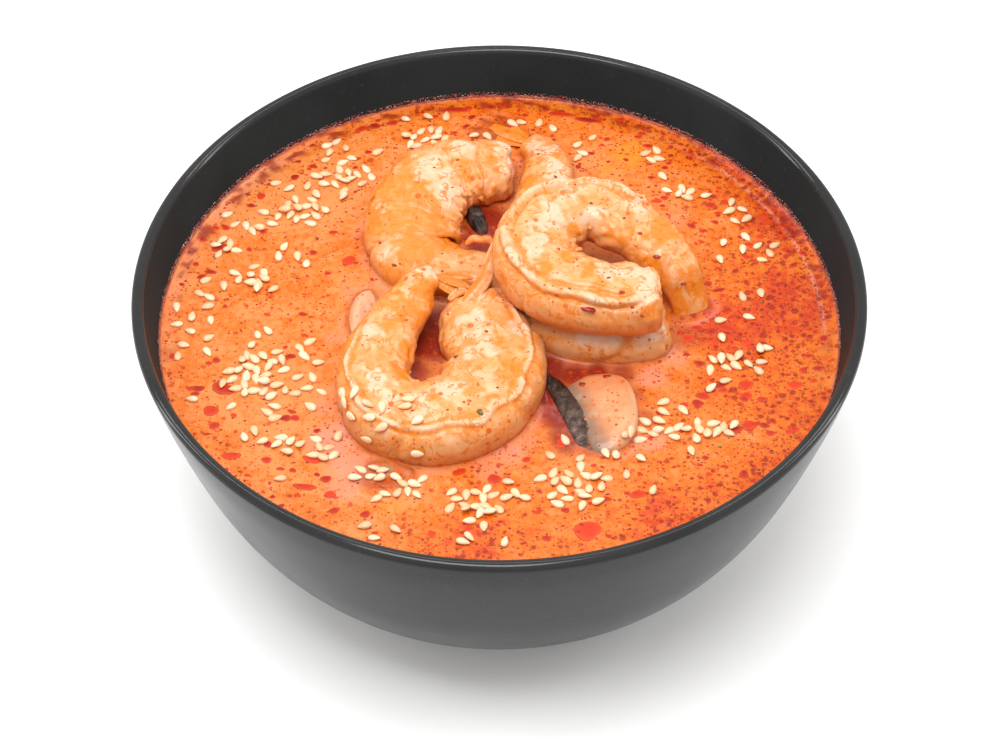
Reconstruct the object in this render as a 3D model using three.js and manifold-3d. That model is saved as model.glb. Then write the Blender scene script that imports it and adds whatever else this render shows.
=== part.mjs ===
// Tom yum soup served in its bowl, one body, sizes in millimetres, +Z up.
// The bowl stands on its foot ring, and the soup fills it to a flat level.
// Four curled prawns and four mushroom slices lie in the soup and on each other.
import * as THREE from 'three';
import { mergeVertices } from 'three/addons/utils/BufferGeometryUtils.js';
import Module from 'manifold-3d';

const wasm = await Module();
wasm.setup();

// ---- sizes of the bowl ----
const TURN_STEPS = 48;          // facets round the bowl and the soup
const RIM_RADIUS = 75;
const RIM_HEIGHT = 66;
const FOOT_RADIUS = 34;
const FOOT_HEIGHT = 4;
const FOOT_BAND = 3.6;          // width of the ring the bowl stands on
const FLOOR_TOP = 7;            // inside floor of the bowl

// outside of the wall from the foot up, as radius and height
const OUTER_WALL = [
  [39.5, 4.6], [46.0, 7.6], [52.4, 12.2], [58.2, 18.2], [62.8, 25.6], [66.4, 33.6],
  [69.2, 42.0], [71.6, 50.4], [73.6, 58.2],
];
// inside of the wall from the lip down, as radius and height
const INNER_WALL = [
  [71.3, 59.0], [70.0, 53.0], [67.7, 45.0], [64.8, 37.0], [61.0, 29.2], [55.8, 21.8],
  [49.0, 15.6], [40.6, 11.0], [30.0, 8.3], [16.0, 7.2],
];

// ---- sizes of the soup ----
const SOUP_LEVEL = 53.6;
const CLEARANCE = 0.3;          // gap between pieces that touch

// ---- the prawns ----
// Each station of a prawn is x, y, z, half width, half height and roll in degrees,
// listed from the cut head end, round the curl, to the tip of the tail fan.
// The width runs from the back of the prawn, on the outside of the curl, to its belly.
const PRAWN_STEPS = 26;         // facets along a prawn
const PRAWN_SIDES = 14;         // facets round a prawn
const SEGMENTS = 6;             // shell segments along a prawn
const SEGMENT_STEP = 0.045;     // how far each segment stands out over the next
const SECTION_SQUARENESS = 0.8; // 1 gives an ellipse, less gives flatter sides

const CLOCKWISE = 1;
const ANTICLOCKWISE = -1;

const PRAWN_FRONT = {
  turn: CLOCKWISE,
  stations: [
    [-5.4, 2.0, 56.6, 8.2, 5.6, 0],
    [-3.0, -6.0, 56.6, 9.0, 6.4, 0],
    [-0.4, -15.6, 56.4, 10.2, 6.8, 0],
    [-3.8, -25.0, 56.2, 10.4, 7.0, 0],
    [-13.4, -30.6, 56.0, 10.0, 7.0, 0],
    [-22.0, -27.8, 56.0, 8.8, 6.6, 0],
    [-25.4, -19.6, 56.6, 7.6, 6.0, 0],
    [-23.8, -10.6, 58.0, 6.8, 5.2, 0],
    [-19.6, -2.8, 59.8, 5.4, 4.1, 0],
    [-15.6, 4.0, 61.2, 3.6, 2.7, 0],
    [-11.4, 6.0, 61.8, 3.2, 1.5, 0],
    [-4.8, 3.6, 61.2, 3.8, 0.9, 0],
  ],
};

const PRAWN_UNDER = {
  turn: CLOCKWISE,
  stations: [
    [34.6, -3.2, 54.6, 6.4, 5.6, 0],
    [26.0, -4.8, 54.8, 7.6, 6.0, 0],
    [16.4, -3.6, 54.8, 8.0, 6.2, 0],
    [9.0, 1.4, 54.8, 7.8, 6.2, 0],
    [5.6, 9.6, 54.8, 7.4, 6.0, 0],
    [6.0, 18.6, 55.0, 7.0, 5.6, 0],
    [8.2, 27.4, 56.0, 6.6, 5.2, 0],
    [10.2, 36.0, 56.8, 6.2, 4.8, 0],
    [10.6, 43.6, 56.4, 5.4, 4.2, 0],
    [9.2, 50.4, 55.2, 4.2, 3.0, 0],
    [3.4, 55.8, 54.2, 3.2, 1.6, 0],
    [-7.2, 57.6, 53.5, 4.2, 0.8, 0],
  ],
};

const PRAWN_RIGHT = {
  turn: CLOCKWISE,
  stations: [
    [33.0, -6.0, 66.6, 6.8, 5.4, 0],
    [25.6, -6.2, 66.4, 8.0, 6.0, 0],
    [16.6, -4.4, 66.2, 8.6, 6.3, 0],
    [9.2, 0.8, 66.0, 8.8, 6.4, 0],
    [7.0, 9.2, 66.0, 8.6, 6.3, 0],
    [10.8, 16.6, 66.2, 8.0, 6.0, 0],
    [18.6, 19.6, 66.4, 6.8, 5.6, 0],
    [26.0, 16.6, 65.2, 6.6, 5.2, 0],
    [32.4, 12.6, 63.0, 6.4, 4.7, 0],
    [36.8, 8.2, 60.2, 5.4, 4.0, 0],
    [39.2, 5.0, 56.0, 4.4, 2.6, 0],
    [41.0, 1.4, 51.4, 4.2, 1.2, 0],
  ],
};

const PRAWN_BACK = {
  turn: ANTICLOCKWISE,
  stations: [
    [3.0, 41.4, 57.0, 6.4, 5.4, 0],
    [-5.0, 41.4, 57.2, 8.2, 6.0, 0],
    [-12.4, 38.6, 57.4, 9.6, 6.2, 0],
    [-17.2, 32.4, 57.0, 10.2, 6.2, 0],
    [-18.8, 24.4, 55.6, 10.4, 5.8, 0],
    [-17.0, 17.0, 54.4, 9.2, 5.4, 0],
    [-10.4, 13.6, 54.0, 7.4, 5.0, 0],
    [-2.4, 12.6, 53.8, 6.2, 4.6, 0],
  ],
};

// ---- the mushroom slices ----
const SLICE_EDGE = 0.7;         // rounding of a slice's cut edge

const MUSHROOM_SLICE = {
  outline: [
    [-8.6, 9.6], [1.0, 11.4], [7.0, 8.6], [9.4, 2.0], [9.0, -4.8], [5.4, -9.4],
    [-0.6, -10.6], [-4.0, -7.6], [-5.4, -1.6], [-7.6, 4.0],
  ],
  thickness: 4.6,
  centre: [18.4, -26.6, 52.9],
  tilt: [0, -14, 0],
};

const MUSHROOM_LEFT = {
  outline: [
    [-2.6, -6.4], [1.4, -6.8], [3.2, -2.0], [2.6, 3.0], [0.6, 6.0], [-1.8, 4.0],
    [-3.0, -1.0],
  ],
  thickness: 4.4,
  centre: [-28.4, 2.6, 53.0],
  tilt: [8, 26, 0],
};

const MUSHROOM_SUNK = {
  outline: [
    [-6.0, -0.6], [-3.6, -3.2], [1.8, -3.8], [5.8, -2.2], [6.4, 0.8], [3.0, 3.2],
    [-3.0, 3.4],
  ],
  thickness: 3.4,
  centre: [-23.0, -42.4, 52.3],
  tilt: [4, -3, 0],
};

const MUSHROOM_BACK = {
  outline: [
    [-3.0, 3.8], [-0.6, 4.4], [1.6, 0.6], [2.6, -3.4], [0.4, -3.8], [-2.0, -0.6],
  ],
  thickness: 5.0,
  centre: [-4.8, 29.0, 53.4],
  tilt: [10, 18, 0],
};

// ---- working with closed shapes ----

// one welded triangle mesh with outward facing triangles, ready for cutting
function toSolid(geometry) {
  const bare = geometry.clone();
  bare.deleteAttribute('normal');
  bare.deleteAttribute('uv');
  const welded = mergeVertices(bare, 1e-4);
  const vertProperties = new Float32Array(welded.attributes.position.array);
  const kept = [];
  const index = welded.index.array;
  for (let i = 0; i < index.length; i += 3) {
    const [a, b, c] = [index[i], index[i + 1], index[i + 2]];
    if (a !== b && b !== c && c !== a) kept.push(a, b, c);
  }
  const triVerts = new Uint32Array(kept);
  const mesh = new wasm.Mesh({ numProp: 3, vertProperties, triVerts });
  const solid = new wasm.Manifold(mesh);
  if (solid.volume() > 0) return solid;
  for (let i = 0; i < triVerts.length; i += 3) {
    [triVerts[i + 1], triVerts[i + 2]] = [triVerts[i + 2], triVerts[i + 1]];
  }
  return new wasm.Manifold(new wasm.Mesh({ numProp: 3, vertProperties, triVerts }));
}

// the largest single piece of a cut shape, as a geometry
function toGeometry(solid) {
  const pieces = solid.decompose();
  let largest = pieces[0];
  for (const piece of pieces) {
    if (piece.volume() > largest.volume()) largest = piece;
  }
  const mesh = largest.getMesh();
  const positions = [];
  for (let i = 0; i < mesh.vertProperties.length; i += mesh.numProp) {
    positions.push(...mesh.vertProperties.slice(i, i + 3));
  }
  const geometry = new THREE.BufferGeometry();
  geometry.setAttribute('position', new THREE.Float32BufferAttribute(positions, 3));
  geometry.setIndex(Array.from(mesh.triVerts));
  geometry.computeVertexNormals();
  return geometry;
}

// the same shape with its skin moved outward, used to cut room in a neighbour
function swollen(geometry, amount) {
  const bare = geometry.clone();
  bare.deleteAttribute('normal');
  bare.deleteAttribute('uv');
  const welded = mergeVertices(bare, 1e-4);
  welded.computeVertexNormals();
  const place = welded.attributes.position;
  const normal = welded.attributes.normal;
  const sense = facingSign(welded);
  for (let i = 0; i < place.count; i += 1) {
    place.setXYZ(
      i,
      place.getX(i) + normal.getX(i) * amount * sense,
      place.getY(i) + normal.getY(i) * amount * sense,
      place.getZ(i) + normal.getZ(i) * amount * sense,
    );
  }
  return welded;
}

// +1 when the triangles of a closed mesh face outward, -1 when they face inward
function facingSign(geometry) {
  const place = geometry.attributes.position;
  const index = geometry.index.array;
  const [a, b, c] = [new THREE.Vector3(), new THREE.Vector3(), new THREE.Vector3()];
  let volume = 0;
  for (let i = 0; i < index.length; i += 3) {
    a.fromBufferAttribute(place, index[i]);
    b.fromBufferAttribute(place, index[i + 1]);
    c.fromBufferAttribute(place, index[i + 2]);
    volume += a.dot(b.cross(c));
  }
  return Math.sign(volume);
}

// ---- the bowl and the soup ----

// a closed half profile turned round the upright axis
function turned(profile) {
  const lathe = new THREE.LatheGeometry(profile, TURN_STEPS);
  lathe.rotateX(Math.PI / 2);
  return lathe;
}

function makeBowl() {
  const lip = [
    [74.8, 63.8], [75.0, 64.8], [74.6, 65.7], [73.8, 66.0], [72.9, 65.6], [72.3, 64.4],
  ];
  const foot = [
    [0, FOOT_HEIGHT - 1.6],
    [FOOT_RADIUS - FOOT_BAND - 1.0, FOOT_HEIGHT - 1.6],
    [FOOT_RADIUS - FOOT_BAND, 0.4],
    [FOOT_RADIUS - FOOT_BAND + 0.6, 0],
    [FOOT_RADIUS - 0.8, 0],
    [FOOT_RADIUS, 0.6],
    [FOOT_RADIUS + 0.6, FOOT_HEIGHT - 0.6],
  ];
  const profile = [
    ...foot.map(([r, z]) => new THREE.Vector2(r, z)),
    ...OUTER_WALL.map(([r, z]) => new THREE.Vector2(r, z)),
    ...lip.map(([r, z]) => new THREE.Vector2((r * RIM_RADIUS) / 75, z + RIM_HEIGHT - 66)),
    ...INNER_WALL.map(([r, z]) => new THREE.Vector2(r, z)),
    new THREE.Vector2(0, FLOOR_TOP),
  ];
  return turned(profile);
}

function makeSoupFill() {
  const wall = INNER_WALL.filter(([, z]) => z < SOUP_LEVEL - 2)
    .map(([r, z]) => new THREE.Vector2(r - CLEARANCE, z + CLEARANCE));
  const profile = [
    new THREE.Vector2(0, SOUP_LEVEL),
    new THREE.Vector2(69.75, SOUP_LEVEL),
    ...wall,
    new THREE.Vector2(0, FLOOR_TOP + CLEARANCE),
  ];
  return turned(profile);
}

// ---- the prawns ----

function squared(value) {
  return Math.sign(value) * Math.abs(value) ** SECTION_SQUARENESS;
}

// A ball whose skin is laid along the curl: the way from pole to pole becomes the way
// from head end to tail, and each ring of the ball becomes one cross-section.
function makePrawn({ turn, stations }) {
  const path = new THREE.CatmullRomCurve3(stations.map(([x, y, z]) => new THREE.Vector3(x, y, z)));
  const girth = new THREE.CatmullRomCurve3(stations.map(([, , , w, h, r]) => new THREE.Vector3(w, h, r)));
  const headShare = 0.1;
  const tailShare = 0.07;
  const headLength = 0.035;
  const tailLength = 0.015;
  const ball = new THREE.SphereGeometry(1, PRAWN_SIDES, PRAWN_STEPS);
  const skin = ball.attributes.position;
  const up = new THREE.Vector3(0, 0, 1);
  for (let i = 0; i < skin.count; i += 1) {
    const way = Math.acos(THREE.MathUtils.clamp(skin.getY(i), -1, 1)) / Math.PI;
    const round = Math.atan2(skin.getZ(i), skin.getX(i));
    let t = 0;
    let cap = 1;
    if (way < headShare) {
      const bend = (way / headShare) * (Math.PI / 2);
      t = headLength * (1 - Math.cos(bend));
      cap = Math.sin(bend) ** 0.6;
    } else if (way > 1 - tailShare) {
      const bend = ((1 - way) / tailShare) * (Math.PI / 2);
      t = 1 - tailLength * (1 - Math.cos(bend));
      cap = Math.sin(bend) ** 0.7;
    } else {
      const share = (way - headShare) / (1 - headShare - tailShare);
      t = headLength + share * (1 - headLength - tailLength);
    }
    const centre = path.getPoint(t);
    const heading = path.getTangent(t);
    const size = girth.getPoint(t);
    const outward = new THREE.Vector3().crossVectors(up, heading).normalize().multiplyScalar(turn);
    const above = new THREE.Vector3().crossVectors(heading, outward).normalize();
    if (above.z < 0) above.negate();
    const roll = THREE.MathUtils.degToRad(size.z);
    const side = outward.clone().multiplyScalar(Math.cos(roll)).addScaledVector(above, Math.sin(roll));
    const top = above.clone().multiplyScalar(Math.cos(roll)).addScaledVector(outward, -Math.sin(roll));
    const segment = t * 1.25 * SEGMENTS;
    const ridge = t < 0.8 ? SEGMENT_STEP * (0.5 - (segment - Math.floor(segment))) : 0;
    const across = squared(Math.cos(round));
    const upward = squared(Math.sin(round)) * (1 + 0.1 * across);
    const reach = cap * (1 + ridge);
    const point = centre
      .addScaledVector(side, size.x * reach * across)
      .addScaledVector(top, size.y * reach * upward);
    skin.setXYZ(i, point.x, point.y, point.z);
  }
  return ball;
}

// ---- the mushroom slices ----

function makeSlice({ outline, thickness, centre, tilt }) {
  const shape = new THREE.Shape();
  const edge = new THREE.SplineCurve([...outline, outline[0]].map(([x, y]) => new THREE.Vector2(x, y)));
  const points = edge.getPoints(outline.length * 2);
  shape.setFromPoints(points.slice(0, -1));
  const slice = new THREE.ExtrudeGeometry(shape, {
    depth: thickness - 2 * SLICE_EDGE,
    bevelEnabled: true,
    bevelThickness: SLICE_EDGE,
    bevelSize: SLICE_EDGE,
    bevelOffset: -SLICE_EDGE,
    bevelSegments: 1,
  });
  slice.translate(0, 0, -(thickness - 2 * SLICE_EDGE) / 2);
  slice.rotateX(THREE.MathUtils.degToRad(tilt[0]));
  slice.rotateY(THREE.MathUtils.degToRad(tilt[1]));
  slice.rotateZ(THREE.MathUtils.degToRad(tilt[2]));
  slice.translate(...centre);
  return slice;
}

// ---- fitting the pieces together ----

const forms = {
  prawn_front: makePrawn(PRAWN_FRONT),
  prawn_under: makePrawn(PRAWN_UNDER),
  prawn_right: makePrawn(PRAWN_RIGHT),
  prawn_back: makePrawn(PRAWN_BACK),
  mushroom_slice: makeSlice(MUSHROOM_SLICE),
  mushroom_left: makeSlice(MUSHROOM_LEFT),
  mushroom_sunk: makeSlice(MUSHROOM_SUNK),
  mushroom_back: makeSlice(MUSHROOM_BACK),
};

// each piece gives way to those listed before it
const colours = {
  bowl: [0x3a3b3d, 0.35],
  soup: [0xe8743c, 0.25],
  prawn_front: [0xf6b27a, 0.3],
  prawn_under: [0xf3b48c, 0.3],
  prawn_right: [0xf7b67e, 0.3],
  prawn_back: [0xf2a66e, 0.3],
  mushroom_slice: [0xe9c39b, 0.5],
  mushroom_left: [0xefc8a2, 0.5],
  mushroom_sunk: [0xa98a6c, 0.5],
  mushroom_back: [0x5f4638, 0.5],
};

const part = new THREE.Group();
part.name = 'tom_yum_soup';

function addPiece(name, geometry) {
  const [color, roughness] = colours[name];
  const material = new THREE.MeshStandardMaterial({ color, roughness, metalness: 0 });
  const mesh = new THREE.Mesh(geometry, material);
  mesh.name = name;
  part.add(mesh);
}

addPiece('bowl', makeBowl());

let soup = toSolid(makeSoupFill());
const placed = [];
for (const [name, form] of Object.entries(forms)) {
  let piece = toSolid(form);
  for (const neighbour of placed) {
    piece = piece.subtract(neighbour);
  }
  const room = toSolid(swollen(form, CLEARANCE * 1.15));
  placed.push(room);
  soup = soup.subtract(room);
  addPiece(name, toGeometry(piece));
}
addPiece('soup', toGeometry(soup));

export default part;
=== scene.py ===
# %% [markdown]
# # Tom yum soup in its bowl
# A dark glazed bowl holds a creamy, chili-red coconut soup with curled prawns, mushroom
# slices and a scatter of sesame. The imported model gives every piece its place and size, so
# this lesson starts by loading it, and each new piece is then made in the same frame.

# %% Loading the frame
import math
import random
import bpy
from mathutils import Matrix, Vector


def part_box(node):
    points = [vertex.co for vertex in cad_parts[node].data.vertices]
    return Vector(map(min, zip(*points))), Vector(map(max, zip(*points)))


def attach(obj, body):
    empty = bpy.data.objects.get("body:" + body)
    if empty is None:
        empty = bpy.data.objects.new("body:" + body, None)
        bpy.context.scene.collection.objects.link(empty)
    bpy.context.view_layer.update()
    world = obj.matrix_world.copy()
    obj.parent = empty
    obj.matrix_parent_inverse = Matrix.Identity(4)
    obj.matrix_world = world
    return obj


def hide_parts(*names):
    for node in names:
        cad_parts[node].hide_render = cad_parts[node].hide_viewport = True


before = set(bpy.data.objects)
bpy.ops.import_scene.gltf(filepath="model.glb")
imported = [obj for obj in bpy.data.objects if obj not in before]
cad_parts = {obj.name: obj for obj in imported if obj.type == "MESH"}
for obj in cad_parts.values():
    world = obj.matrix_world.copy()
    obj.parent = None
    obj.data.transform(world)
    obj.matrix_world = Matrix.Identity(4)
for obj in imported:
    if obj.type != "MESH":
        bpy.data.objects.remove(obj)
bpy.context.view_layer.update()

from types import SimpleNamespace

import bmesh
import bpy
import numpy as np
from mathutils import Matrix, Vector, noise
from mathutils.bvhtree import BVHTree

MM = 0.001
RIM_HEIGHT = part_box("bowl")[1][2] / MM
SOUP_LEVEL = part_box("soup")[1][2] / MM
print("rim at", round(RIM_HEIGHT, 2), "mm, soup at", round(SOUP_LEVEL, 2), "mm")

# %% [markdown]
# ## The camera
# The bowl is looked down into from the front, from half a metre away, through a long lens
# that keeps the round rim from looking stretched. The camera aims at the middle of the bowl,
# so it needs no shift.

# %% Camera
LENS = 88.06                     # mm
SENSOR_WIDTH = 36                # mm
EYE = Vector((0.0, -0.35345, 0.41971))
AIM = Vector((0.00014, 0.0, 0.0371))

camera_data = bpy.data.cameras.new("table_camera")
camera_data.lens = LENS
camera_data.sensor_width = SENSOR_WIDTH
camera = bpy.data.objects.new("table_camera", camera_data)
camera.location = EYE
camera.rotation_euler = (AIM - EYE).to_track_quat("-Z", "Y").to_euler()
bpy.context.scene.collection.objects.link(camera)
bpy.context.scene.camera = camera
print("camera looks down", round(90 - math.degrees(camera.rotation_euler.x), 2), "degrees")

# %% [markdown]
# ## Floor and light
# A pale, wide floor carries the bowl. One large soft lamp overhead does most of the work,
# as a softbox does in a studio: it puts a short dark shadow right under the bowl. A narrow
# strip behind draws the thin bright line on the lip, two strips at the sides light the
# inside of the wall, and a plain pale sky fills the rest.

# %% Floor, sky and lamps
FLOOR_HALF = 3.0                 # metres
FLOOR_TONE = (0.93, 0.93, 0.93, 1)
SKY_TONE = (1.0, 0.985, 0.97, 1)
SKY_STRENGTH = 0.85
LAMP_AIM = Vector((0, 0, 0.05))
LAMPS = {  # place and size in metres, then watts
    "overhead_softbox": ((-0.08, -0.20, 0.85), (0.44, 0.38), 5.4),
    "back_strip": ((0.0, 0.42, 0.80), (1.5, 0.06), 2.4),
    "left_strip": ((-0.75, 0.1, 0.35), (0.10, 0.7), 1.8),
    "right_strip": ((0.75, 0.1, 0.35), (0.10, 0.7), 1.8),
}


def new_material(name):
    material = bpy.data.materials.new(name)
    material.use_nodes = True
    return material, material.node_tree, material.node_tree.nodes["Principled BSDF"]


def fill_sockets(tree, node, inputs):
    """Gives each input its value, or a link where the value is another node's socket."""
    for key, value in inputs.items():
        if isinstance(value, bpy.types.NodeSocket):
            tree.links.new(value, node.inputs[key])
        else:
            node.inputs[key].default_value = value


def set_shader(tree, shader, **values):
    fill_sockets(tree, shader, {key.replace("_", " "): value for key, value in values.items()})


def add_lamp(name, place, size, watts):
    data = bpy.data.lights.new(name, "AREA")
    data.shape = "RECTANGLE"
    data.size, data.size_y = size
    data.energy = watts
    lamp = bpy.data.objects.new(name, data)
    lamp.location = place
    lamp.rotation_euler = (LAMP_AIM - Vector(place)).to_track_quat("-Z", "Y").to_euler()
    bpy.context.scene.collection.objects.link(lamp)


floor_bm = bmesh.new()
bmesh.ops.create_grid(floor_bm, x_segments=2, y_segments=2, size=FLOOR_HALF)
floor_mesh = bpy.data.meshes.new("studio_floor")
floor_bm.to_mesh(floor_mesh)
floor_bm.free()
floor = bpy.data.objects.new("studio_floor", floor_mesh)
bpy.context.scene.collection.objects.link(floor)
floor_paint, tree, shader = new_material("pale_floor")
set_shader(tree, shader, Base_Color=FLOOR_TONE, Roughness=0.9, Specular_IOR_Level=0.1)
floor_mesh.materials.append(floor_paint)

sky = bpy.data.worlds.new("pale_sky")
bpy.context.scene.world = sky
sky.use_nodes = True
set_shader(sky.node_tree, sky.node_tree.nodes["Background"], Color=SKY_TONE, Strength=SKY_STRENGTH)
for name, (place, size, watts) in LAMPS.items():
    add_lamp(name, place, size, watts)
bpy.context.scene.view_settings.view_transform = "Standard"

# %% [markdown]
# ## Helpers for shapes
# Every piece is worked out in millimetres and turned into metres once, when it is finished.
# A smooth line through a few stations is the base of both the bowl's wall and the prawns:
# it is the same centripetal Catmull-Rom line that drawing programs offer.

# %% A smooth line through stations
def along(points, share):
    """The places on a smooth line through points, for shares from 0 to 1 of its length."""
    points = np.asarray(points, float)
    share = np.atleast_1d(np.asarray(share, float))
    place = np.clip(share, 0, 1) * (len(points) - 1)
    low = np.minimum(place.astype(int), len(points) - 2)
    part = (place - low)[:, None]
    ends = np.vstack([2 * points[0] - points[1], points, 2 * points[-1] - points[-2]])
    p0, p1, p2, p3 = (ends[low + k] for k in range(4))

    def gap(a, b):
        return np.maximum(np.sqrt(np.linalg.norm(b - a, axis=1, keepdims=True)), 1e-4)

    d0, d1, d2 = gap(p0, p1), gap(p1, p2), gap(p2, p3)
    m1 = ((p1 - p0) / d0 - (p2 - p0) / (d0 + d1) + (p2 - p1) / d1) * d1
    m2 = ((p2 - p1) / d1 - (p3 - p1) / (d1 + d2) + (p3 - p2) / d2) * d1
    c2 = -3 * p1 + 3 * p2 - 2 * m1 - m2
    c3 = 2 * p1 - 2 * p2 + m1 + m2
    return p1 + m1 * part + c2 * part ** 2 + c3 * part ** 3


def ripple(points, size, offset=0.0):
    """Smooth random waves about size mm wide, from -1 to 1, one value for each point."""
    shift = Vector((offset, offset * 0.7, -offset))
    return np.array([noise.noise(Vector(p) / size + shift) for p in points])


def ease(low, high, value):
    """0 below low, 1 above high and a smooth step between them."""
    x = np.clip((value - low) / (high - low), 0, 1)
    return x * x * (3 - 2 * x)


def bump(value, middle, width):
    """A smooth hill of height 1 round a middle value."""
    return np.exp(-((value - middle) / width) ** 2)


print("line test:", along([[0, 0], [1, 0], [2, 1]], 0.5)[0])

# %% Finishing a piece
def read_points(bm):
    return np.array([v.co[:] for v in bm.verts])


def write_points(bm, points):
    for vert, point in zip(bm.verts, points):
        vert.co = point


def marks_of(red, green=0.0, blue=0.0, alpha=1.0):
    """Four masks side by side, one row for each point. A mask may be one number for all."""
    return np.stack(np.broadcast_arrays(red, green, blue, alpha), axis=1)


def finish_piece(name, bm, material, marks=None):
    """Turns a bmesh in millimetres into a smooth piece that rides on the part."""
    bmesh.ops.scale(bm, vec=(MM, MM, MM), verts=bm.verts)
    bm.normal_update()
    mesh = bpy.data.meshes.new(name)
    bm.to_mesh(mesh)
    bm.free()
    mesh.polygons.foreach_set("use_smooth", [True] * len(mesh.polygons))
    if marks is not None:
        layer = mesh.color_attributes.new("marks", "FLOAT_COLOR", "POINT")
        layer.data.foreach_set("color", np.asarray(marks, np.float32).ravel())
    mesh.materials.append(material)
    piece = bpy.data.objects.new(name, mesh)
    bpy.context.scene.collection.objects.link(piece)
    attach(piece, "root")
    print(name, len(mesh.vertices), "points", len(mesh.polygons), "faces")
    return piece


print("one metre is", round(1 / MM), "of the units that shapes are worked out in")

# %% [markdown]
# Seeds, grains and beads come in hundreds. The first one is drawn with an operator and kept
# as a small mesh, which is then added as often as needed. The copies come one after another,
# so each can be moved to its own place.

# %% Many copies of one small shape
def many_of(draw, count):
    """A bmesh with count copies of the shape that draw makes, and the points of one copy."""
    single = bmesh.new()
    draw(single)
    shape = read_points(single)
    one_copy = bpy.data.meshes.new("one_copy")
    single.to_mesh(one_copy)
    single.free()
    bm = bmesh.new()
    for _ in range(count):
        bm.from_mesh(one_copy)
    bpy.data.meshes.remove(one_copy)
    return bm, shape


def add_all(bm, other):
    """Adds everything in another bmesh to this one and frees the other."""
    carrier = bpy.data.meshes.new("carrier")
    other.to_mesh(carrier)
    other.free()
    bm.from_mesh(carrier)
    bpy.data.meshes.remove(carrier)


def lay_along(bm, route, wide, thick, sides=10, rings=16, blunt=0.5):
    """Lays a ball along a route in mm. wide and thick are half sizes at even steps along it."""
    made = bmesh.ops.create_uvsphere(bm, u_segments=sides, v_segments=rings, radius=1)["verts"]
    ball = np.array([v.co[:] for v in made])
    bend = np.arccos(np.clip(ball[:, 2], -1, 1))
    angle = np.arctan2(ball[:, 1], ball[:, 0])
    share = (1 - np.cos(bend)) / 2
    heading = along(route, share + 0.01) - along(route, share - 0.01)
    heading /= np.linalg.norm(heading, axis=1, keepdims=True)
    side = np.cross([0, 0, 1], heading)
    side /= np.linalg.norm(side, axis=1, keepdims=True)
    top = np.cross(heading, side)
    cap = np.sin(bend) ** blunt
    steps = np.linspace(0, 1, len(wide))
    across = np.interp(share, steps, wide) * cap * np.cos(angle)
    upward = np.interp(share, steps, thick) * cap * np.sin(angle)
    points = along(route, share) + side * across[:, None] + top * upward[:, None]
    for vert, point in zip(made, points):
        vert.co = point


def place_flat(shape, x, y, z, long, wide, high, turn):
    """One copy of a shape, stretched, turned by turn radians round the upright and moved."""
    run, across = shape[:, 0] * long, shape[:, 1] * wide
    return np.stack([x + run * math.cos(turn) - across * math.sin(turn),
                     y + run * math.sin(turn) + across * math.cos(turn),
                     z + shape[:, 2] * high], axis=1)


def spot_in_disc(pick, disc_radius):
    """A random place in a disc, even over its area, with its distance from the middle."""
    reach, turn = disc_radius * math.sqrt(pick.random()), pick.uniform(0, 2 * math.pi)
    return reach * math.cos(turn), reach * math.sin(turn), reach


print("copies and strips ready")

# %% [markdown]
# ## Helpers for finishes
# Each finish is a small tree of nodes. It reads Object coordinates, which are metres in the
# part's own frame, so a noise scale of 1000 gives marks about a millimetre wide. The red,
# green and blue of a piece's "marks" are masks painted on its points while it is made.
# Dots of chili lie on nearly everything, so they have a helper too: one dot at most in each
# cell of a Voronoi pattern, and only where the cell's random number is high enough.

# %% Short names for common nodes
def add_node(tree, kind, inputs=None, **settings):
    node = tree.nodes.new(kind)
    for key, value in settings.items():
        setattr(node, key, value)
    fill_sockets(tree, node, inputs or {})
    return node


def spots_of(tree, scale, detail=2.0, rough=0.5, warp=0.0):
    coords = add_node(tree, "ShaderNodeTexCoord").outputs["Object"]
    return add_node(tree, "ShaderNodeTexNoise", {
        "Vector": coords, "Scale": scale, "Detail": detail, "Roughness": rough,
        "Distortion": warp}).outputs["Fac"]


def fade(tree, value, low, high, to_low=0.0, to_high=1.0):
    return add_node(tree, "ShaderNodeMapRange", {
        "Value": value, "From Min": low, "From Max": high, "To Min": to_low,
        "To Max": to_high}, interpolation_type="SMOOTHSTEP").outputs["Result"]


def maths(tree, operation, a, b):
    return add_node(tree, "ShaderNodeMath", {0: a, 1: b}, operation=operation).outputs[0]


def mixed(tree, share, a, b):
    """A blend of two colours. Each is a socket or a red, green and blue."""
    a, b = (c if isinstance(c, bpy.types.NodeSocket) else (*c, 1) for c in (a, b))
    return add_node(tree, "ShaderNodeMix", {0: share, 6: a, 7: b}, data_type="RGBA").outputs[2]


def two_tones(tree, scale, low, high, first, second, detail=2):
    """Two colours that change over in soft patches."""
    return mixed(tree, fade(tree, spots_of(tree, scale, detail), low, high), first, second)


def dots_of(tree, scale, least, most, chance_more=None, full=1.0, soft=(-0.06, 0.04)):
    """1 inside a dot and 0 outside. Dots grow to most as a cell's chance goes to full."""
    cells = add_node(tree, "ShaderNodeTexVoronoi", {
        "Vector": add_node(tree, "ShaderNodeTexCoord").outputs["Object"], "Scale": scale})
    split = add_node(tree, "ShaderNodeSeparateColor", {"Color": cells.outputs["Color"]})
    chance = split.outputs["Red"]
    if chance_more is not None:
        chance = maths(tree, "ADD", chance, chance_more)
    size = fade(tree, chance, least, full, 0.0, most)
    edge = maths(tree, "SUBTRACT", cells.outputs["Distance"], size)
    return fade(tree, edge, *soft, 1.0, 0.0)


def masks_of(tree):
    paint = add_node(tree, "ShaderNodeAttribute", attribute_name="marks")
    split = add_node(tree, "ShaderNodeSeparateColor", {"Color": paint.outputs["Color"]})
    return split.outputs["Red"], split.outputs["Green"], split.outputs["Blue"]


def relief(tree, shader, height, depth_mm, strength=1.0):
    node = add_node(tree, "ShaderNodeBump", {
        "Height": height, "Distance": depth_mm * MM, "Strength": strength})
    set_shader(tree, shader, Normal=node.outputs["Normal"])


print("node helpers ready")

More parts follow.
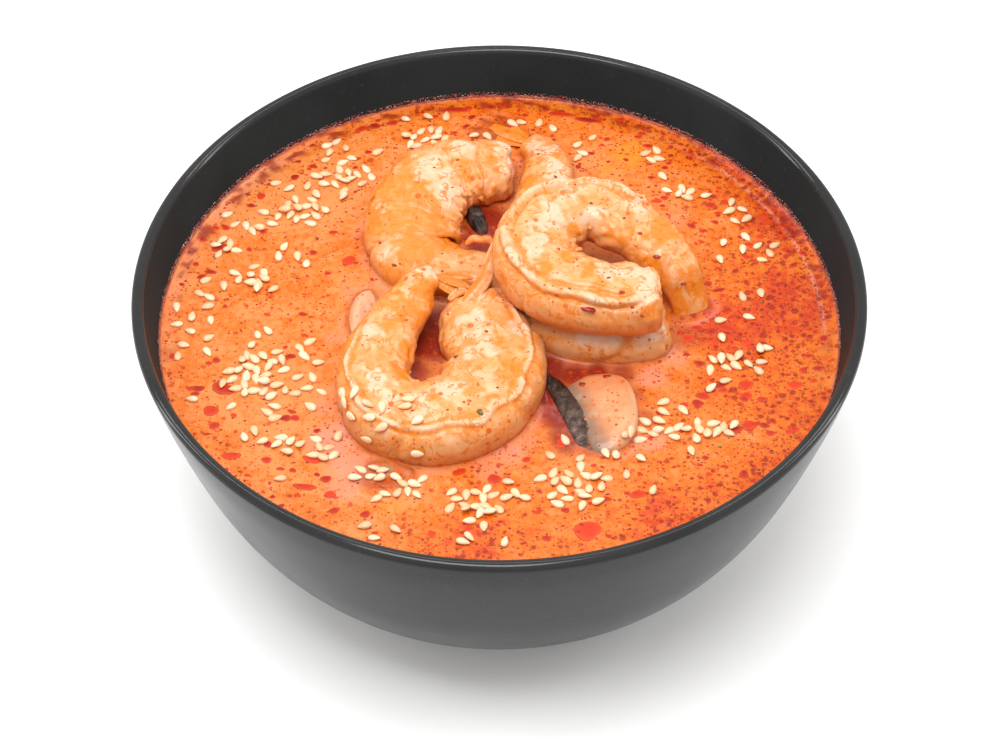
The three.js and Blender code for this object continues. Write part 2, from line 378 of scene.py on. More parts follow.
# %% [markdown]
# ## The bowl
# The bowl is thrown pottery: one wall profile turned round the upright axis. So it is made
# as on the wheel, by spinning an open line of points a full turn. Its lip is nearly flat
# with two small rounded edges, each of which catches a thin line of light.

# %% Bowl profile and spin
OUTER_WALL = [
    (34.6, 3.4), (39.5, 4.6), (46.0, 7.6), (52.4, 12.2), (58.2, 18.2), (62.8, 25.6),
    (66.4, 33.6), (69.2, 42.0), (71.6, 50.4), (73.6, 58.2), (74.85, 64.2)]
INNER_WALL = [
    (72.3, 64.4), (71.3, 59.0), (70.0, 53.0), (67.7, 45.0), (64.8, 37.0), (61.0, 29.2),
    (55.8, 21.8), (49.0, 15.6), (40.6, 11.0), (30.0, 8.3), (16.0, 7.2), (0.0, 7.0)]
LIP = [
    (74.95, 64.8), (74.9, 65.35), (74.6, 65.75), (74.15, 65.95), (73.6, 66.0),
    (73.1, 65.9), (72.7, 65.6), (72.45, 65.1)]
FOOT = [
    (0.0, 2.4), (20.0, 2.4), (28.6, 2.4), (29.6, 2.1), (30.1, 1.4), (30.5, 0.5), (31.0, 0.05),
    (31.6, 0.0), (32.6, 0.0), (33.2, 0.05), (33.7, 0.4), (33.95, 1.0), (34.2, 2.2)]
BOWL_STEPS = 288
OUTER_POINTS, INNER_POINTS = 34, 36


def wall_radius(height):
    """Inside radius of the bowl at a height, in mm."""
    line = along(INNER_WALL, np.linspace(0, 1, 240))[::-1]
    return np.interp(height, line[:, 1], line[:, 0])


def spin_profile(bm, profile, steps):
    """Turns a line of (radius, height) points a full turn and welds it shut."""
    line = [bm.verts.new((r, 0.0, z)) for r, z in profile]
    edges = [bm.edges.new(pair) for pair in zip(line, line[1:])]
    bmesh.ops.spin(bm, geom=line + edges, cent=(0, 0, 0), axis=(0, 0, 1),
                   angle=2 * math.pi, steps=steps, use_merge=True)
    bmesh.ops.remove_doubles(bm, verts=bm.verts, dist=1e-4)
    bmesh.ops.recalc_face_normals(bm, faces=bm.faces)


bowl_bm = bmesh.new()
bowl_profile = np.vstack([
    FOOT, along(OUTER_WALL, np.linspace(0, 1, OUTER_POINTS)),
    LIP, along(INNER_WALL, np.linspace(0, 1, INNER_POINTS))])
spin_profile(bowl_bm, bowl_profile, BOWL_STEPS)
print("bowl profile points:", len(bowl_profile))

# %% [markdown]
# The glaze is a dark charcoal. Outside it is satin and catches the lamps; inside, years of
# spoons have left it almost matt, and the lip keeps the most gloss. So there are three glazes
# from one recipe, and each face takes its glaze by where it lies. The inside glaze is also
# painted lighter and a little blue-green. That is painted light: it makes up for the dim light
# on the inner wall and for the red light that the soup throws on it. The colour drifts a
# little, as a glaze does where it lies thicker, and a very faint orange-peel relief softens
# what it reflects.

# %% Charcoal glaze, outside and inside
GLAZES = {  # thin, thick and fleck colours, how strongly it reflects, roughness from and to
    "charcoal_glaze_satin": (
        (0.013, 0.013, 0.0135), (0.019, 0.019, 0.0195), (0.029, 0.029, 0.030), 1.20, 0.20, 0.28),
    # painted light: the inside's colours are lighter and blue-green, for the dim inner wall and the soup's
    # red glow
    "charcoal_glaze_matt": (
        (0.0175, 0.0235, 0.0250), (0.0225, 0.0295, 0.0315), (0.030, 0.041, 0.045), 1.09, 0.45, 0.55),
    "charcoal_glaze_lip": (
        (0.015, 0.015, 0.0155), (0.021, 0.021, 0.0215), (0.032, 0.032, 0.033), 1.36, 0.10, 0.14),
}
MATT, GLOSSY = 1, 2              # places in the bowl's list of glazes
LIP_START = 65.3                 # mm above the table
INSIDE_FLOOR = 6.0               # mm above the table
TO_MID_WALL = 0.9                # mm from the inner face into the wall


def make_glaze(name, thin, thick, fleck, ior, low_rough, high_rough):
    glaze, tree, shader = new_material(name)
    cloud = spots_of(tree, 45, 3)
    tone = mixed(tree, fade(tree, cloud, 0.35, 0.65), thin, thick)
    tone = mixed(tree, fade(tree, spots_of(tree, 900, 2), 0.62, 0.72, 0, 0.5), tone, fleck)
    rough = fade(tree, cloud, 0.3, 0.7, low_rough, high_rough)
    set_shader(tree, shader, Base_Color=tone, Roughness=rough, IOR=ior)
    relief(tree, shader, spots_of(tree, 260, 2), 0.02)
    return glaze


glazes = [make_glaze(name, *recipe) for name, recipe in GLAZES.items()]
bowl = finish_piece("bowl_glazed", bowl_bm, glazes[0])
bowl.data.materials.append(glazes[MATT])
bowl.data.materials.append(glazes[GLOSSY])
mid_wall = [float(wall_radius(z)) + TO_MID_WALL for z in range(math.ceil(RIM_HEIGHT) + 1)]
for face in bowl.data.polygons:
    middle = face.center / MM
    if middle.z > LIP_START:
        face.material_index = GLOSSY
    elif middle.z > INSIDE_FLOOR and middle.xy.length < mid_wall[round(middle.z)]:
        face.material_index = MATT
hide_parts("bowl")

# %% [markdown]
# ## The prawns
# A peeled prawn is a curled row of overlapping segments, thick at the cut head end and
# thin at the tail. A ball is laid along the curl: the way from pole to pole becomes the way
# from head to tail. Then the segments, the slit back with its pale lip, the stubs of legs on
# the belly and the ragged cut end are pushed out of that skin, and masks for the orange
# bands and pale blooms are painted on the same coordinates.

# %% The curls
CLOCKWISE, ANTICLOCKWISE = 1, -1
# A station is x, y, z, half width and half height in mm, from head to tail, and the body ends
# at station number body. The back is slit between two shares of the length, where lip is how
# wide the raised edge is, in radians, and ridge how high, in mm. A slit of 0.01 is no slit.
PRAWNS = {
    "prawn_front": dict(
        turn=CLOCKWISE, slit=(0.0, 0.66), lip=0.09, ridge=0.45,
        body=9.6, seed=3, warm=0.45, stations=[
        (-5.4, 2.0, 56.6, 8.2, 5.6), (-3.0, -6.0, 56.6, 9.0, 6.4),
        (-0.4, -15.6, 56.4, 10.2, 6.8), (-3.8, -25.0, 56.2, 10.4, 7.0),
        (-13.4, -30.6, 56.0, 10.0, 7.0), (-22.0, -27.8, 56.0, 8.8, 6.6),
        (-25.4, -19.6, 56.6, 7.6, 6.0), (-23.8, -10.6, 58.0, 6.8, 5.2),
        (-19.6, -2.8, 59.8, 5.4, 4.1), (-15.6, 4.0, 61.2, 3.6, 2.7),
        (-11.4, 6.0, 61.8, 3.2, 1.5), (-4.8, 3.6, 61.2, 3.8, 0.9)]),
    "prawn_under": dict(
        turn=CLOCKWISE, slit=(0.0, 0.01), lip=0.08, ridge=0.3,
        body=9.6, seed=11, warm=0.35, stations=[
        (34.6, -3.2, 54.6, 6.4, 5.6), (26.0, -4.8, 54.8, 7.6, 6.0),
        (16.4, -3.6, 54.8, 8.0, 6.2), (9.0, 1.4, 54.8, 7.8, 6.2),
        (5.6, 9.6, 54.8, 7.4, 6.0), (6.0, 18.6, 55.0, 7.0, 5.6),
        (8.2, 27.4, 56.0, 6.6, 5.2), (10.2, 36.0, 56.8, 6.2, 4.8),
        (10.6, 43.6, 56.4, 5.4, 4.2), (9.2, 50.4, 55.2, 4.2, 3.0),
        (3.4, 55.8, 54.2, 3.2, 1.6), (-7.2, 57.6, 53.5, 4.2, 0.8)]),
    "prawn_right": dict(
        turn=CLOCKWISE, slit=(0.04, 0.70), lip=0.14, ridge=1.25,
        body=11.0, seed=5, warm=0.40, stations=[
        (33.0, -6.0, 66.6, 6.8, 5.4), (25.6, -6.2, 66.4, 8.0, 6.0),
        (16.6, -4.4, 66.2, 8.6, 6.3), (9.2, 0.8, 66.0, 8.8, 6.4),
        (7.0, 9.2, 66.0, 8.6, 6.3), (10.8, 16.6, 66.2, 8.0, 6.0),
        (18.6, 19.6, 66.4, 6.8, 5.6), (26.0, 16.6, 65.2, 6.6, 5.2),
        (32.4, 12.6, 63.0, 6.4, 4.7), (36.8, 8.2, 60.2, 5.4, 4.0),
        (39.2, 5.0, 56.0, 4.4, 2.6), (41.0, 1.4, 51.4, 4.2, 1.2)]),
    "prawn_back": dict(
        turn=ANTICLOCKWISE, slit=(0.0, 0.01), lip=0.07, ridge=0.3,
        body=7.0, seed=8, warm=0.90, stations=[
        (3.0, 41.4, 57.0, 6.4, 5.4), (-5.0, 41.4, 57.2, 8.2, 6.0),
        (-12.4, 38.6, 57.4, 9.6, 6.2), (-17.2, 32.4, 57.0, 10.2, 6.2),
        (-18.8, 24.4, 55.6, 10.4, 5.8), (-17.0, 17.0, 54.4, 9.2, 5.4),
        (-10.4, 13.6, 54.0, 7.4, 5.0), (-2.4, 12.6, 53.8, 6.2, 4.6)]),
}
BLOOMS = {  # x, y, radius of pale patches
    "prawn_front": [(-6, -8, 3.0), (4, -10, 2.6), (-4, -16, 4.0), (-10, -27, 3.4), (-16, -31, 3.6),
                    (-24, -24, 3.4), (-26, -12, 2.2), (-14.5, 5, 2.0), (-22, -30, 3.0)],
    "prawn_under": [(10, 46, 3.4), (12, 39, 3.4), (8, 50, 2.4), (20, -12, 5.0), (32, -10, 4.0)],
    "prawn_right": [(11, 12, 3.6), (7, 4, 3.4), (23, -3.4, 2.8), (29, -3.4, 3.0), (14, 19, 3.0),
                    (19, 13, 2.8), (29, -9, 2.6), (29, 17, 2.4)],
    "prawn_back": [(-15, 37, 4.6), (-11, 30, 3.6), (2, 43, 3.0), (-24, 15, 2.0),
                   (-8, 44, 3.2), (-13, 34, 4.0)],
}
STAINS = {  # x, y, radius of orange patches
    "prawn_front": [(-30, -9, 3.0), (-32, -18, 3.4), (-20, -22, 2.2), (0.5, -14.5, 2.6),
                    (-4, -18, 2.0), (-13.5, -30, 2.0), (2, -22, 2.6),
                    (-15.5, 0.4, 2.6), (-17, -6, 2.4), (-30, -14, 2.6),
                    (-18.5, -15, 2.2), (-20, 2, 2.4), (-21, -5, 3.4), (-22.5, -9, 2.6)],
    "prawn_under": [(4.9, 41, 2.4), (5.3, 35, 2.4), (13, 33, 2.6), (5, 46, 2.2), (13, 44, 1.6)],
    "prawn_right": [(15, 11, 2.4), (5.7, 5.3, 2.0), (14, 1.5, 2.6), (18, -3.4, 2.4), (26, -11, 2.4),
                    (31, -14, 3.0), (9, -3.4, 2.2), (22.7, 9.8, 3.0), (26, 11, 2.4), (31, 6.5, 2.4),
                    (37, 2, 2.8), (40, 5, 3.0), (34, 12, 4.0), (20, -8, 1.8)],
    "prawn_back": [(-22, 22, 4.2), (-27, 12, 4.2), (-4, 31, 3.0), (-16.6, 12.6, 3.4), (-22, 29, 3.6),
                   (-8, 36, 2.4), (-26, 23, 4.0), (-2, 39, 2.8), (-12, 20, 4.2), (-18, 17, 4.0),
                   (-24, 36, 3.0)],
}
SEGMENTS = 6
SKIN_RINGS, SKIN_SIDES = 320, 124
SECTION_SQUARENESS = 0.88        # 1 gives an ellipse, less gives flatter sides
CAP_ROUNDNESS = 0.6
HEAD_RINGS, TAIL_RINGS = 0.09, 0.06    # shares of the ball's rings that close each end
HEAD_CAP, TAIL_CAP = 0.03, 0.012       # shares of the prawn's length that the ends take up
print("prawns:", list(PRAWNS))


# %% Laying a ball along a curl
def squared(value):
    return np.sign(value) * np.abs(value) ** SECTION_SQUARENESS


def curl_frame(prawn, share):
    """Centre, heading, outward side, upward side and half sizes of the sections there."""
    stations = np.array(prawn["stations"])
    centre = along(stations[:, :3], share)
    ahead = along(stations[:, :3], np.clip(share + 0.004, 0, 1))
    behind = along(stations[:, :3], np.clip(share - 0.004, 0, 1))
    heading = ahead - behind
    heading /= np.linalg.norm(heading, axis=1, keepdims=True)
    side = np.cross([0, 0, 1], heading)
    side *= prawn["turn"] / np.linalg.norm(side, axis=1, keepdims=True)
    top = np.cross(heading, side)
    top *= np.where(top[:, 2:] < 0, -1, 1)
    return centre, heading, side, top, along(stations[:, 3:], share)


first_skin = bmesh.new()
bmesh.ops.create_uvsphere(first_skin, u_segments=SKIN_SIDES, v_segments=SKIN_RINGS, radius=1)
skin_ball = bpy.data.meshes.new("skin_ball")
first_skin.to_mesh(skin_ball)
first_skin.free()


def prawn_skin(name):
    """A bmesh of one prawn's body in mm, with the share along it and the angle round it."""
    prawn = PRAWNS[name]
    last = prawn["body"] / (len(prawn["stations"]) - 1)
    bm = bmesh.new()
    bm.from_mesh(skin_ball)
    ball = read_points(bm)
    way = np.arccos(np.clip(ball[:, 2], -1, 1)) / math.pi
    angle = np.arctan2(ball[:, 1], ball[:, 0])
    head_bend = np.clip(way / HEAD_RINGS, 0, 1) * math.pi / 2
    tail_bend = np.clip((1 - way) / TAIL_RINGS, 0, 1) * math.pi / 2
    middle = np.clip((way - HEAD_RINGS) / (1 - HEAD_RINGS - TAIL_RINGS), 0, 1)
    share = HEAD_CAP + middle * (last - HEAD_CAP - TAIL_CAP)
    share = np.where(way < HEAD_RINGS, HEAD_CAP * (1 - np.cos(head_bend)), share)
    share = np.where(way > 1 - TAIL_RINGS, last - TAIL_CAP * (1 - np.cos(tail_bend)), share)
    cap = np.minimum(np.sin(head_bend), np.sin(tail_bend)) ** CAP_ROUNDNESS
    centre, heading, side, top, half = curl_frame(prawn, share)
    across, upward = squared(np.cos(angle)), squared(np.sin(angle))
    upward *= 1 + 0.1 * across
    points = (centre + side * (half[:, :1] * (cap * across)[:, None])
              + top * (half[:, 1:2] * (cap * upward)[:, None]))
    out = (side * (np.cos(angle) / half[:, 0])[:, None]
           + top * (np.sin(angle) / half[:, 1])[:, None])
    out /= np.linalg.norm(out, axis=1, keepdims=True)
    end = (np.cos(head_bend) * (way < HEAD_RINGS))[:, None]
    out = out * np.sqrt(1 - end ** 2) - heading * end
    write_points(bm, points)
    return bm, points, out, share, angle, half


print("skin rings and sides:", SKIN_RINGS, SKIN_SIDES)


# %% [markdown]
# The relief comes in layers, from large to fine: segments with grooves between them, the
# raised lip of the slit back, lumps where the meat was cut, leg stubs, then fine fibres.
# Each layer is a plain function of the share along the prawn and the angle round it. The
# layers are kept by name, because the height of the skin and its colour masks both use them.

# %% Layers of a prawn's skin
SEGMENT_SHARE = 0.8              # share of the length that is divided into segments
SLIT_ANGLE = math.radians(52)    # from the outer side up towards the top


def patch_cover(points, patches, wobble):
    """How much of each point lies in soft patches given as (x, y, radius)."""
    cover = np.zeros(len(points))
    for x, y, size in patches:
        gap = np.hypot(points[:, 0] - x, points[:, 1] - y) + wobble * size
        cover = np.maximum(cover, ease(1.25 * size, 0.55 * size, gap))
    return cover


def skin_layers(name, points, share, angle):
    """The layers of one prawn's skin, each with one value for each point."""
    prawn = PRAWNS[name]
    seed = prawn["seed"]
    layer = SimpleNamespace()
    layer.drift = ripple(points, 11.0, seed + 10)
    layer.lumps = ripple(points, 4.2, seed + 20)
    layer.crease = np.clip(1 - np.abs(ripple(points, 3.6, seed + 30)) / 0.10, 0, 1)
    layer.fine = ripple(points, 1.7, seed + 40)
    layer.top_side = ease(-0.2, 0.5, np.sin(angle))

    waver = ripple(points, 7.0, seed)
    place = share / SEGMENT_SHARE * SEGMENTS + 0.28 * waver + 0.12 * np.cos(angle)
    part = place - np.floor(place)
    on_body = 1 - ease(0.80, 0.88, share)
    gap = bump(np.minimum(part, 1 - part), 0, 0.05)
    layer.groove = gap * on_body * (0.35 + 0.65 * ease(-0.3, 0.3, layer.drift))
    layer.swell = np.sin(math.pi * part) ** 0.7 * on_body
    layer.belly = bump(np.abs(angle), math.pi, 0.62)
    layer.stubs = layer.belly * bump(part, 0.55, 0.22) * on_body

    slit_start, slit_end = prawn["slit"]
    slit_angle = SLIT_ANGLE + 0.20 * waver
    layer.in_slit = (ease(slit_start, slit_start + 0.05, share)
                     * (1 - ease(slit_end - 0.06, slit_end, share)))
    width = prawn["lip"] * (1 + 0.25 * layer.fine)
    torn = 0.6 + 0.4 * ease(-0.25, 0.15, ripple(points, 5.0, seed + 75))
    layer.lip = np.exp(-((angle - slit_angle) / width) ** 4) * layer.in_slit * torn
    layer.lip_foot = bump(angle, slit_angle - 1.7 * width, 0.07) * layer.in_slit
    layer.lip_valley = bump(angle, slit_angle + 1.7 * width, 0.08) * layer.in_slit
    layer.under_lip = (np.exp(-np.clip(slit_angle - width - angle, 0, 9) / 0.30)
                       * (angle < slit_angle - 0.05))
    return layer


print("skin layers ready, with", SEGMENTS, "segments to a prawn")

# %% [markdown]
# The height adds the layers up, in mm. It is scaled down where the prawn gets thin, and the
# whole skin is drawn in a little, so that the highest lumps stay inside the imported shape.

# %% Height of the skin
DRAWN_IN = 0.22                  # mm
FULL_SIZE = 5.0                  # half height in mm from which the relief is at full depth


def skin_height(name, layer, points, share, angle, half):
    seed = PRAWNS[name]["seed"]
    grain = ripple(points * [1, 1, 1.6], 0.75, seed + 60)
    cut = 1 - ease(0.02, 0.10, share)
    lip_shape = layer.lip - 0.5 * layer.lip_valley - 0.45 * layer.lip_foot
    height = (0.20 * layer.swell - 0.50 * layer.groove * (0.6 + 0.4 * np.cos(angle - 0.8))
              + PRAWNS[name]["ridge"] * lip_shape
              + (0.12 + 0.24 * layer.top_side) * layer.lumps
              + 0.26 * layer.top_side * ripple(points, 7.5, seed + 70)
              - 0.10 * layer.crease * layer.top_side
              + (0.06 + 0.06 * layer.top_side) * layer.fine + 0.03 * grain
              + 0.9 * layer.stubs * (0.6 + 0.8 * layer.fine)
              + cut * 0.8 * ripple(points, 2.6, seed + 80))
    return height * np.minimum(half[:, 1] / FULL_SIZE, 1.0) - DRAWN_IN


print("skin is drawn in by", DRAWN_IN, "mm")

# %% [markdown]
# Red marks where the skin is orange, green where the meat is pale, and blue is painted
# shade on the underside and the belly. Part of the orange is painted shade too, in a line
# under the slit's lip and in the valley beside it, and the pale is kept to the upper side,
# which is partly the meat's own colour and partly painted light.

# %% Masks of the skin
def skin_marks(name, layer, points, share, angle):
    seed = PRAWNS[name]["seed"]
    above, outer = np.sin(angle), np.cos(angle)
    top_side, lumps, fine = layer.top_side, layer.lumps, layer.fine
    tail = ease(0.50, 0.85, share)
    wobble = 0.9 * ripple(points, 2.6, seed + 90) + 0.4 * fine
    blotch = ease(0.02, 0.34, ripple(points, 2.2, seed + 92) + 0.5 * fine)
    # Part of the orange is painted shade: the line under the slit's lip and the valley beside it.
    orange = np.maximum.reduce([
        0.5 * layer.groove * (0.7 + fine), 0.95 * layer.under_lip * layer.in_slit,
        1.1 * layer.lip_valley * (0.8 + fine), 0.95 * tail * ease(0.40, 0.85, np.abs(outer)),
        0.55 * blotch * top_side, 0.45 * layer.crease * top_side,
        0.45 * tail * ease(-0.5, 0.2, lumps),
        patch_cover(points, STAINS[name], wobble) * top_side,
        PRAWNS[name]["warm"] * ease(0.25, -0.30, layer.drift + 0.4 * lumps)])
    blooms = patch_cover(points, BLOOMS[name], wobble)
    # The pale blooms are the meat's own colour, but keeping them to the upper side is painted light: the
    # top is lighter as if lit from above.
    pale = np.maximum(blooms, 0.5 * ease(0.0, 0.4, lumps)) * ease(0.1, 0.8, above)
    pale = pale + 0.7 * layer.lip
    orange *= 1 - 0.6 * blooms
    # painted shade: the underside and the belly are darkened, a little more on the outer side
    prawn_underside_shade = (ease(0.35, -0.75, above) * (0.75 + 0.25 * outer)
            + 0.5 * layer.belly * ease(0.5, -0.4, above))
    return np.clip(marks_of(orange * (1 - 0.85 * layer.lip), pale, prawn_underside_shade, 1.0), 0, 1)


print("stains and blooms:", {name: (len(STAINS[name]), len(BLOOMS[name])) for name in PRAWNS})

# %% [markdown]
# The tail fan is a few thin blades that spread from the last joint. Each is a ball pressed
# flat and laid along a short bent line. The same helper makes the torn strip of skin that
# bridges two prawns and the frilly stubs of legs.

# %% Tail blades, torn skin and leg frills
LEAF_WIDTHS = (0.45, 0.75, 1.0, 1.0, 0.8, 0.45)
FRILL_SHARES = (0.16, 0.24, 0.31, 0.41, 0.48, 0.57)
FANS = {  # length, half width, half thickness, sag, angles of the blades in degrees
    "prawn_front": (9.5, 1.25, 0.34, 0.8, (-30, -8, 14)),
    "prawn_under": (16.5, 1.8, 0.34, 0.3, (-36, -22, -8)),
}
STRIPS = {  # routes in mm, then half widths and half thicknesses along them
    "prawn_front": [
        ([(-7.6, -3.4, 61.4), (-5.2, -0.4, 62.2), (-3.2, 3.4, 62.2), (-2.2, 7.4, 61.8),
          (-1.2, 11.4, 62.2), (0.2, 15.2, 63.4), (1.0, 18.0, 64.4)],
         (1.9, 1.9, 1.6, 1.5, 1.3, 0.8), (0.7, 0.7, 0.6, 0.5, 0.45, 0.3)),
        ([(-10.4, -1.4, 61.2), (-8.4, 0.6, 61.6), (-6.4, 0.8, 61.6)], (0.9, 1.2, 0.9), (0.5, 0.6, 0.5)),
    ],
    "prawn_back": [
        ([(-7.2, 19.2, 57.0), (-5.6, 20.2, 57.8), (-3.8, 19.7, 58.0), (-2.4, 20.0, 57.8),
          (-0.8, 18.8, 57.0)],
         (0.7, 1.1, 0.8, 1.1, 0.6), (0.6, 0.9, 0.7, 0.9, 0.5)),
    ],
}


def add_fan(bm, name):
    """Adds the tail blades past the end of the body, one for each angle."""
    length, wide, thick, sag, angles = FANS[name]
    stations = np.array(PRAWNS[name]["stations"])[:, :3]
    root = along(stations, PRAWNS[name]["body"] / (len(stations) - 1) - 0.02)[0]
    heading = Vector(stations[-1] - root).normalized()
    for index, degrees in enumerate(angles):
        turned = Matrix.Rotation(math.radians(degrees), 3, "Z") @ heading
        run = np.linspace(0, 1, 5)[:, None]
        route = root + np.array(turned) * run * length * (1 - 0.005 * abs(degrees))
        route[:, 2] += (0.4 * (index % 2) - sag * run ** 2)[:, 0]
        lay_along(bm, route, [wide * w for w in LEAF_WIDTHS], [thick] * len(LEAF_WIDTHS),
                  sides=20, rings=24, blunt=0.6)


def add_frills(bm, name):
    """Adds a row of small leg stubs along the belly side of a prawn."""
    prawn = PRAWNS[name]
    pick = random.Random(prawn["seed"])
    for share in FRILL_SHARES:
        rows = curl_frame(prawn, np.array([share]))
        centre, heading, side, top, half = (row[0] for row in rows)
        start = centre - side * (half[0] - 0.7) + top * half[1] * pick.uniform(-0.1, 0.5)
        reach = pick.uniform(0.5, 1.3)
        tip = start - side * reach * 0.6 + heading * pick.uniform(-1, 1) - top * reach * 0.6
        bend = (start + tip) / 2 + top * 0.5
        lay_along(bm, [start, bend, tip], (0.9, 0.8, 0.5), (0.5, 0.45, 0.3),
                  sides=12, rings=12)


print("blades:", {name: len(fan[4]) for name, fan in FANS.items()})

# %% [markdown]
# Cooked prawn is opaque and creamy with a rosy blush, orange where the skin's colour has set
# in bands, and lets a little light in, which is what the subsurface share is for. The masks
# are made ragged with noise before they choose a colour, so that no band has a clean edge.
# Thin orange threads and rust-coloured dots of chili cling to the meat, its underside is
# painted a darker orange-red as shade, and a thin coat of broth keeps it wet.

# %% Prawn meat
MEAT_DOTS = ((520, 0.62, 0.38), (1200, 0.70, 0.38))   # scale, least chance, largest size
DOT_SHARE = 0.9

meat, tree, shader = new_material("cooked_prawn")
orange_mask, pale_and_lit_mask, prawn_shade_mask = masks_of(tree)
ragged = maths(tree, "SUBTRACT", spots_of(tree, 520, 6, 0.70, 0.6), 0.5)
ragged = maths(tree, "MULTIPLY", ragged, 1.5)
flesh = two_tones(tree, 230, 0.38, 0.62, (0.70, 0.345, 0.140), (0.69, 0.270, 0.082), 3)
# pale meat, and painted light on the upper side
bloom = fade(tree, maths(tree, "SUBTRACT", pale_and_lit_mask, ragged), -0.15, 1.20, 0.0, 0.95)
flesh = mixed(tree, bloom, flesh, (0.71, 0.475, 0.320))
stain = fade(tree, maths(tree, "ADD", orange_mask, ragged), 0.05, 1.15, 0.0, 0.95)
flesh = mixed(tree, stain, flesh, (0.69, 0.195, 0.010))

thread = maths(tree, "SUBTRACT", spots_of(tree, 300, 2, 0.5, 0.9), 0.5)
thread = fade(tree, maths(tree, "ABSOLUTE", thread, 0), 0.008, 0.050, 1.0, 0.0)
thread = maths(tree, "MULTIPLY", thread, fade(tree, spots_of(tree, 240, 2), 0.42, 0.52))
flesh = mixed(tree, maths(tree, "MULTIPLY", thread, 0.80), flesh, (0.64, 0.160, 0.003))
for scale, least, most in MEAT_DOTS:
    dotty = fade(tree, spots_of(tree, 140, 2), 0.42, 0.60)
    dot = maths(tree, "MULTIPLY", dots_of(tree, scale, least, most), dotty)
    flesh = mixed(tree, maths(tree, "MULTIPLY", dot, DOT_SHARE), flesh, (0.50, 0.085, 0.005))
# painted shade: where the blue mask is high, the meat is darkened to orange-red
flesh = mixed(tree, maths(tree, "MULTIPLY", prawn_shade_mask, 0.92), flesh, (0.60, 0.108, 0.005))
set_shader(tree, shader, Base_Color=flesh, Roughness=0.30, IOR=1.36, Subsurface_Weight=0.15,
           Subsurface_Scale=0.0025, Subsurface_Radius=(1.0, 0.38, 0.16), Coat_Weight=0.12,
           Coat_Roughness=0.08)
relief(tree, shader, spots_of(tree, 900, 4, 0.6), 0.07, 0.7)
print("meat nodes:", len(tree.nodes))

# %% [markdown]
# Each prawn is now put together: its skin, its leg stubs, its tail blades and its torn
# strips, joined in one piece. Its surface is noted too, for the soup and the seeds to find.

# %% Building the four prawns
# The blue of these marks is painted shade on the tail blades and the leg stubs.
FAN_MARKS = [0.95, 0.0, 0.25, 1.0]
STRIP_MARKS = [0.30, 0.45, 0.0, 1.0]
FRILL_MARKS = [0.55, 0.10, 0.15, 1.0]
BROAD_STRIP = 1.5                # half width in mm from which a strip has its own marks
HIGHEST = 72.6                   # mm above the table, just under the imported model's top
food_points, food_faces = [], []


def keep_food(bm):
    """Notes a piece's surface, so that the soup and the seeds can find it later."""
    bm.verts.index_update()
    start = len(food_points)
    food_points.extend(v.co[:] for v in bm.verts)
    food_faces.extend([start + v.index for v in f.verts] for f in bm.faces)


def tint_new(bm, tints, tint):
    """Gives one tint to the points that a bmesh has gained since the last call."""
    tints.append(np.tile(tint, (len(bm.verts) - sum(len(rows) for rows in tints), 1)))


for name in PRAWNS:
    bm, points, out, share, angle, half = prawn_skin(name)
    layer = skin_layers(name, points, share, angle)
    skin = points + out * skin_height(name, layer, points, share, angle, half)[:, None]
    skin[:, 2] = np.minimum(skin[:, 2], HIGHEST)
    write_points(bm, skin)
    extras, tints = bmesh.new(), []
    add_frills(extras, name)
    tint_new(extras, tints, FRILL_MARKS)
    if name in FANS:
        add_fan(extras, name)
        tint_new(extras, tints, FAN_MARKS)
    for route, wide, thick in STRIPS.get(name, []):
        lay_along(extras, route, wide, thick, sides=16, rings=24)
        tint_new(extras, tints, STRIP_MARKS if wide[0] > BROAD_STRIP else FRILL_MARKS)
    add_all(bm, extras)
    bmesh.ops.recalc_face_normals(bm, faces=bm.faces)
    keep_food(bm)
    marks = np.vstack([skin_marks(name, layer, points, share, angle)] + tints)
    piece = finish_piece(name + "_meat", bm, meat, marks)
    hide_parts(name)

# %% [markdown]
# ## The mushroom slices
# A button mushroom is cut into slices about 4 mm thick: cream flesh with a rounded cap edge
# and, on the inside of the cap, a band of dark gills. A flattened ball is drawn out to each
# slice's outline, which keeps the edge soft, and the gills get a band of their own.

# %% Slice shapes
SLICES = {
    "mushroom_slice": dict(centre=(18.4, -26.6, 52.9), tilt=(0, -14), thick=4.6, outline=[
        (-7.6, 9.4), (0.6, 11.4), (7.0, 9.4), (9.4, 3.0), (9.0, -4.8), (5.4, -9.4),
        (0.8, -10.4), (-1.2, -7.0), (-3.6, -1.6), (-6.4, 4.0)]),
    "mushroom_left": dict(centre=(-28.4, 2.6, 53.0), tilt=(8, 26), thick=4.4, outline=[
        (-2.6, -6.4), (1.4, -6.8), (3.2, -2.0), (2.6, 3.0), (0.6, 6.0), (-1.8, 4.0),
        (-3.0, -1.0)]),
    "mushroom_sunk": dict(centre=(-23.0, -42.4, 52.3), tilt=(4, -3), thick=3.4, outline=[
        (-6.0, -0.6), (-3.6, -3.2), (1.8, -3.8), (5.8, -2.2), (6.4, 0.8), (3.0, 3.2),
        (-3.0, 3.4)]),
    "mushroom_back": dict(centre=(-4.8, 29.0, 53.4), tilt=(10, 18), thick=5.0, outline=[
        (-3.0, 3.8), (-0.6, 4.4), (1.6, 0.6), (2.6, -3.4), (0.4, -3.8), (-2.0, -0.6)]),
}


def tilted(points, centre, tilt):
    """Turns points about X then Y by the tilt in degrees, and moves them to centre."""
    about_x = Matrix.Rotation(math.radians(tilt[0]), 3, "X")
    about_y = Matrix.Rotation(math.radians(tilt[1]), 3, "Y")
    return points @ np.array(about_y @ about_x).T + np.array(centre)


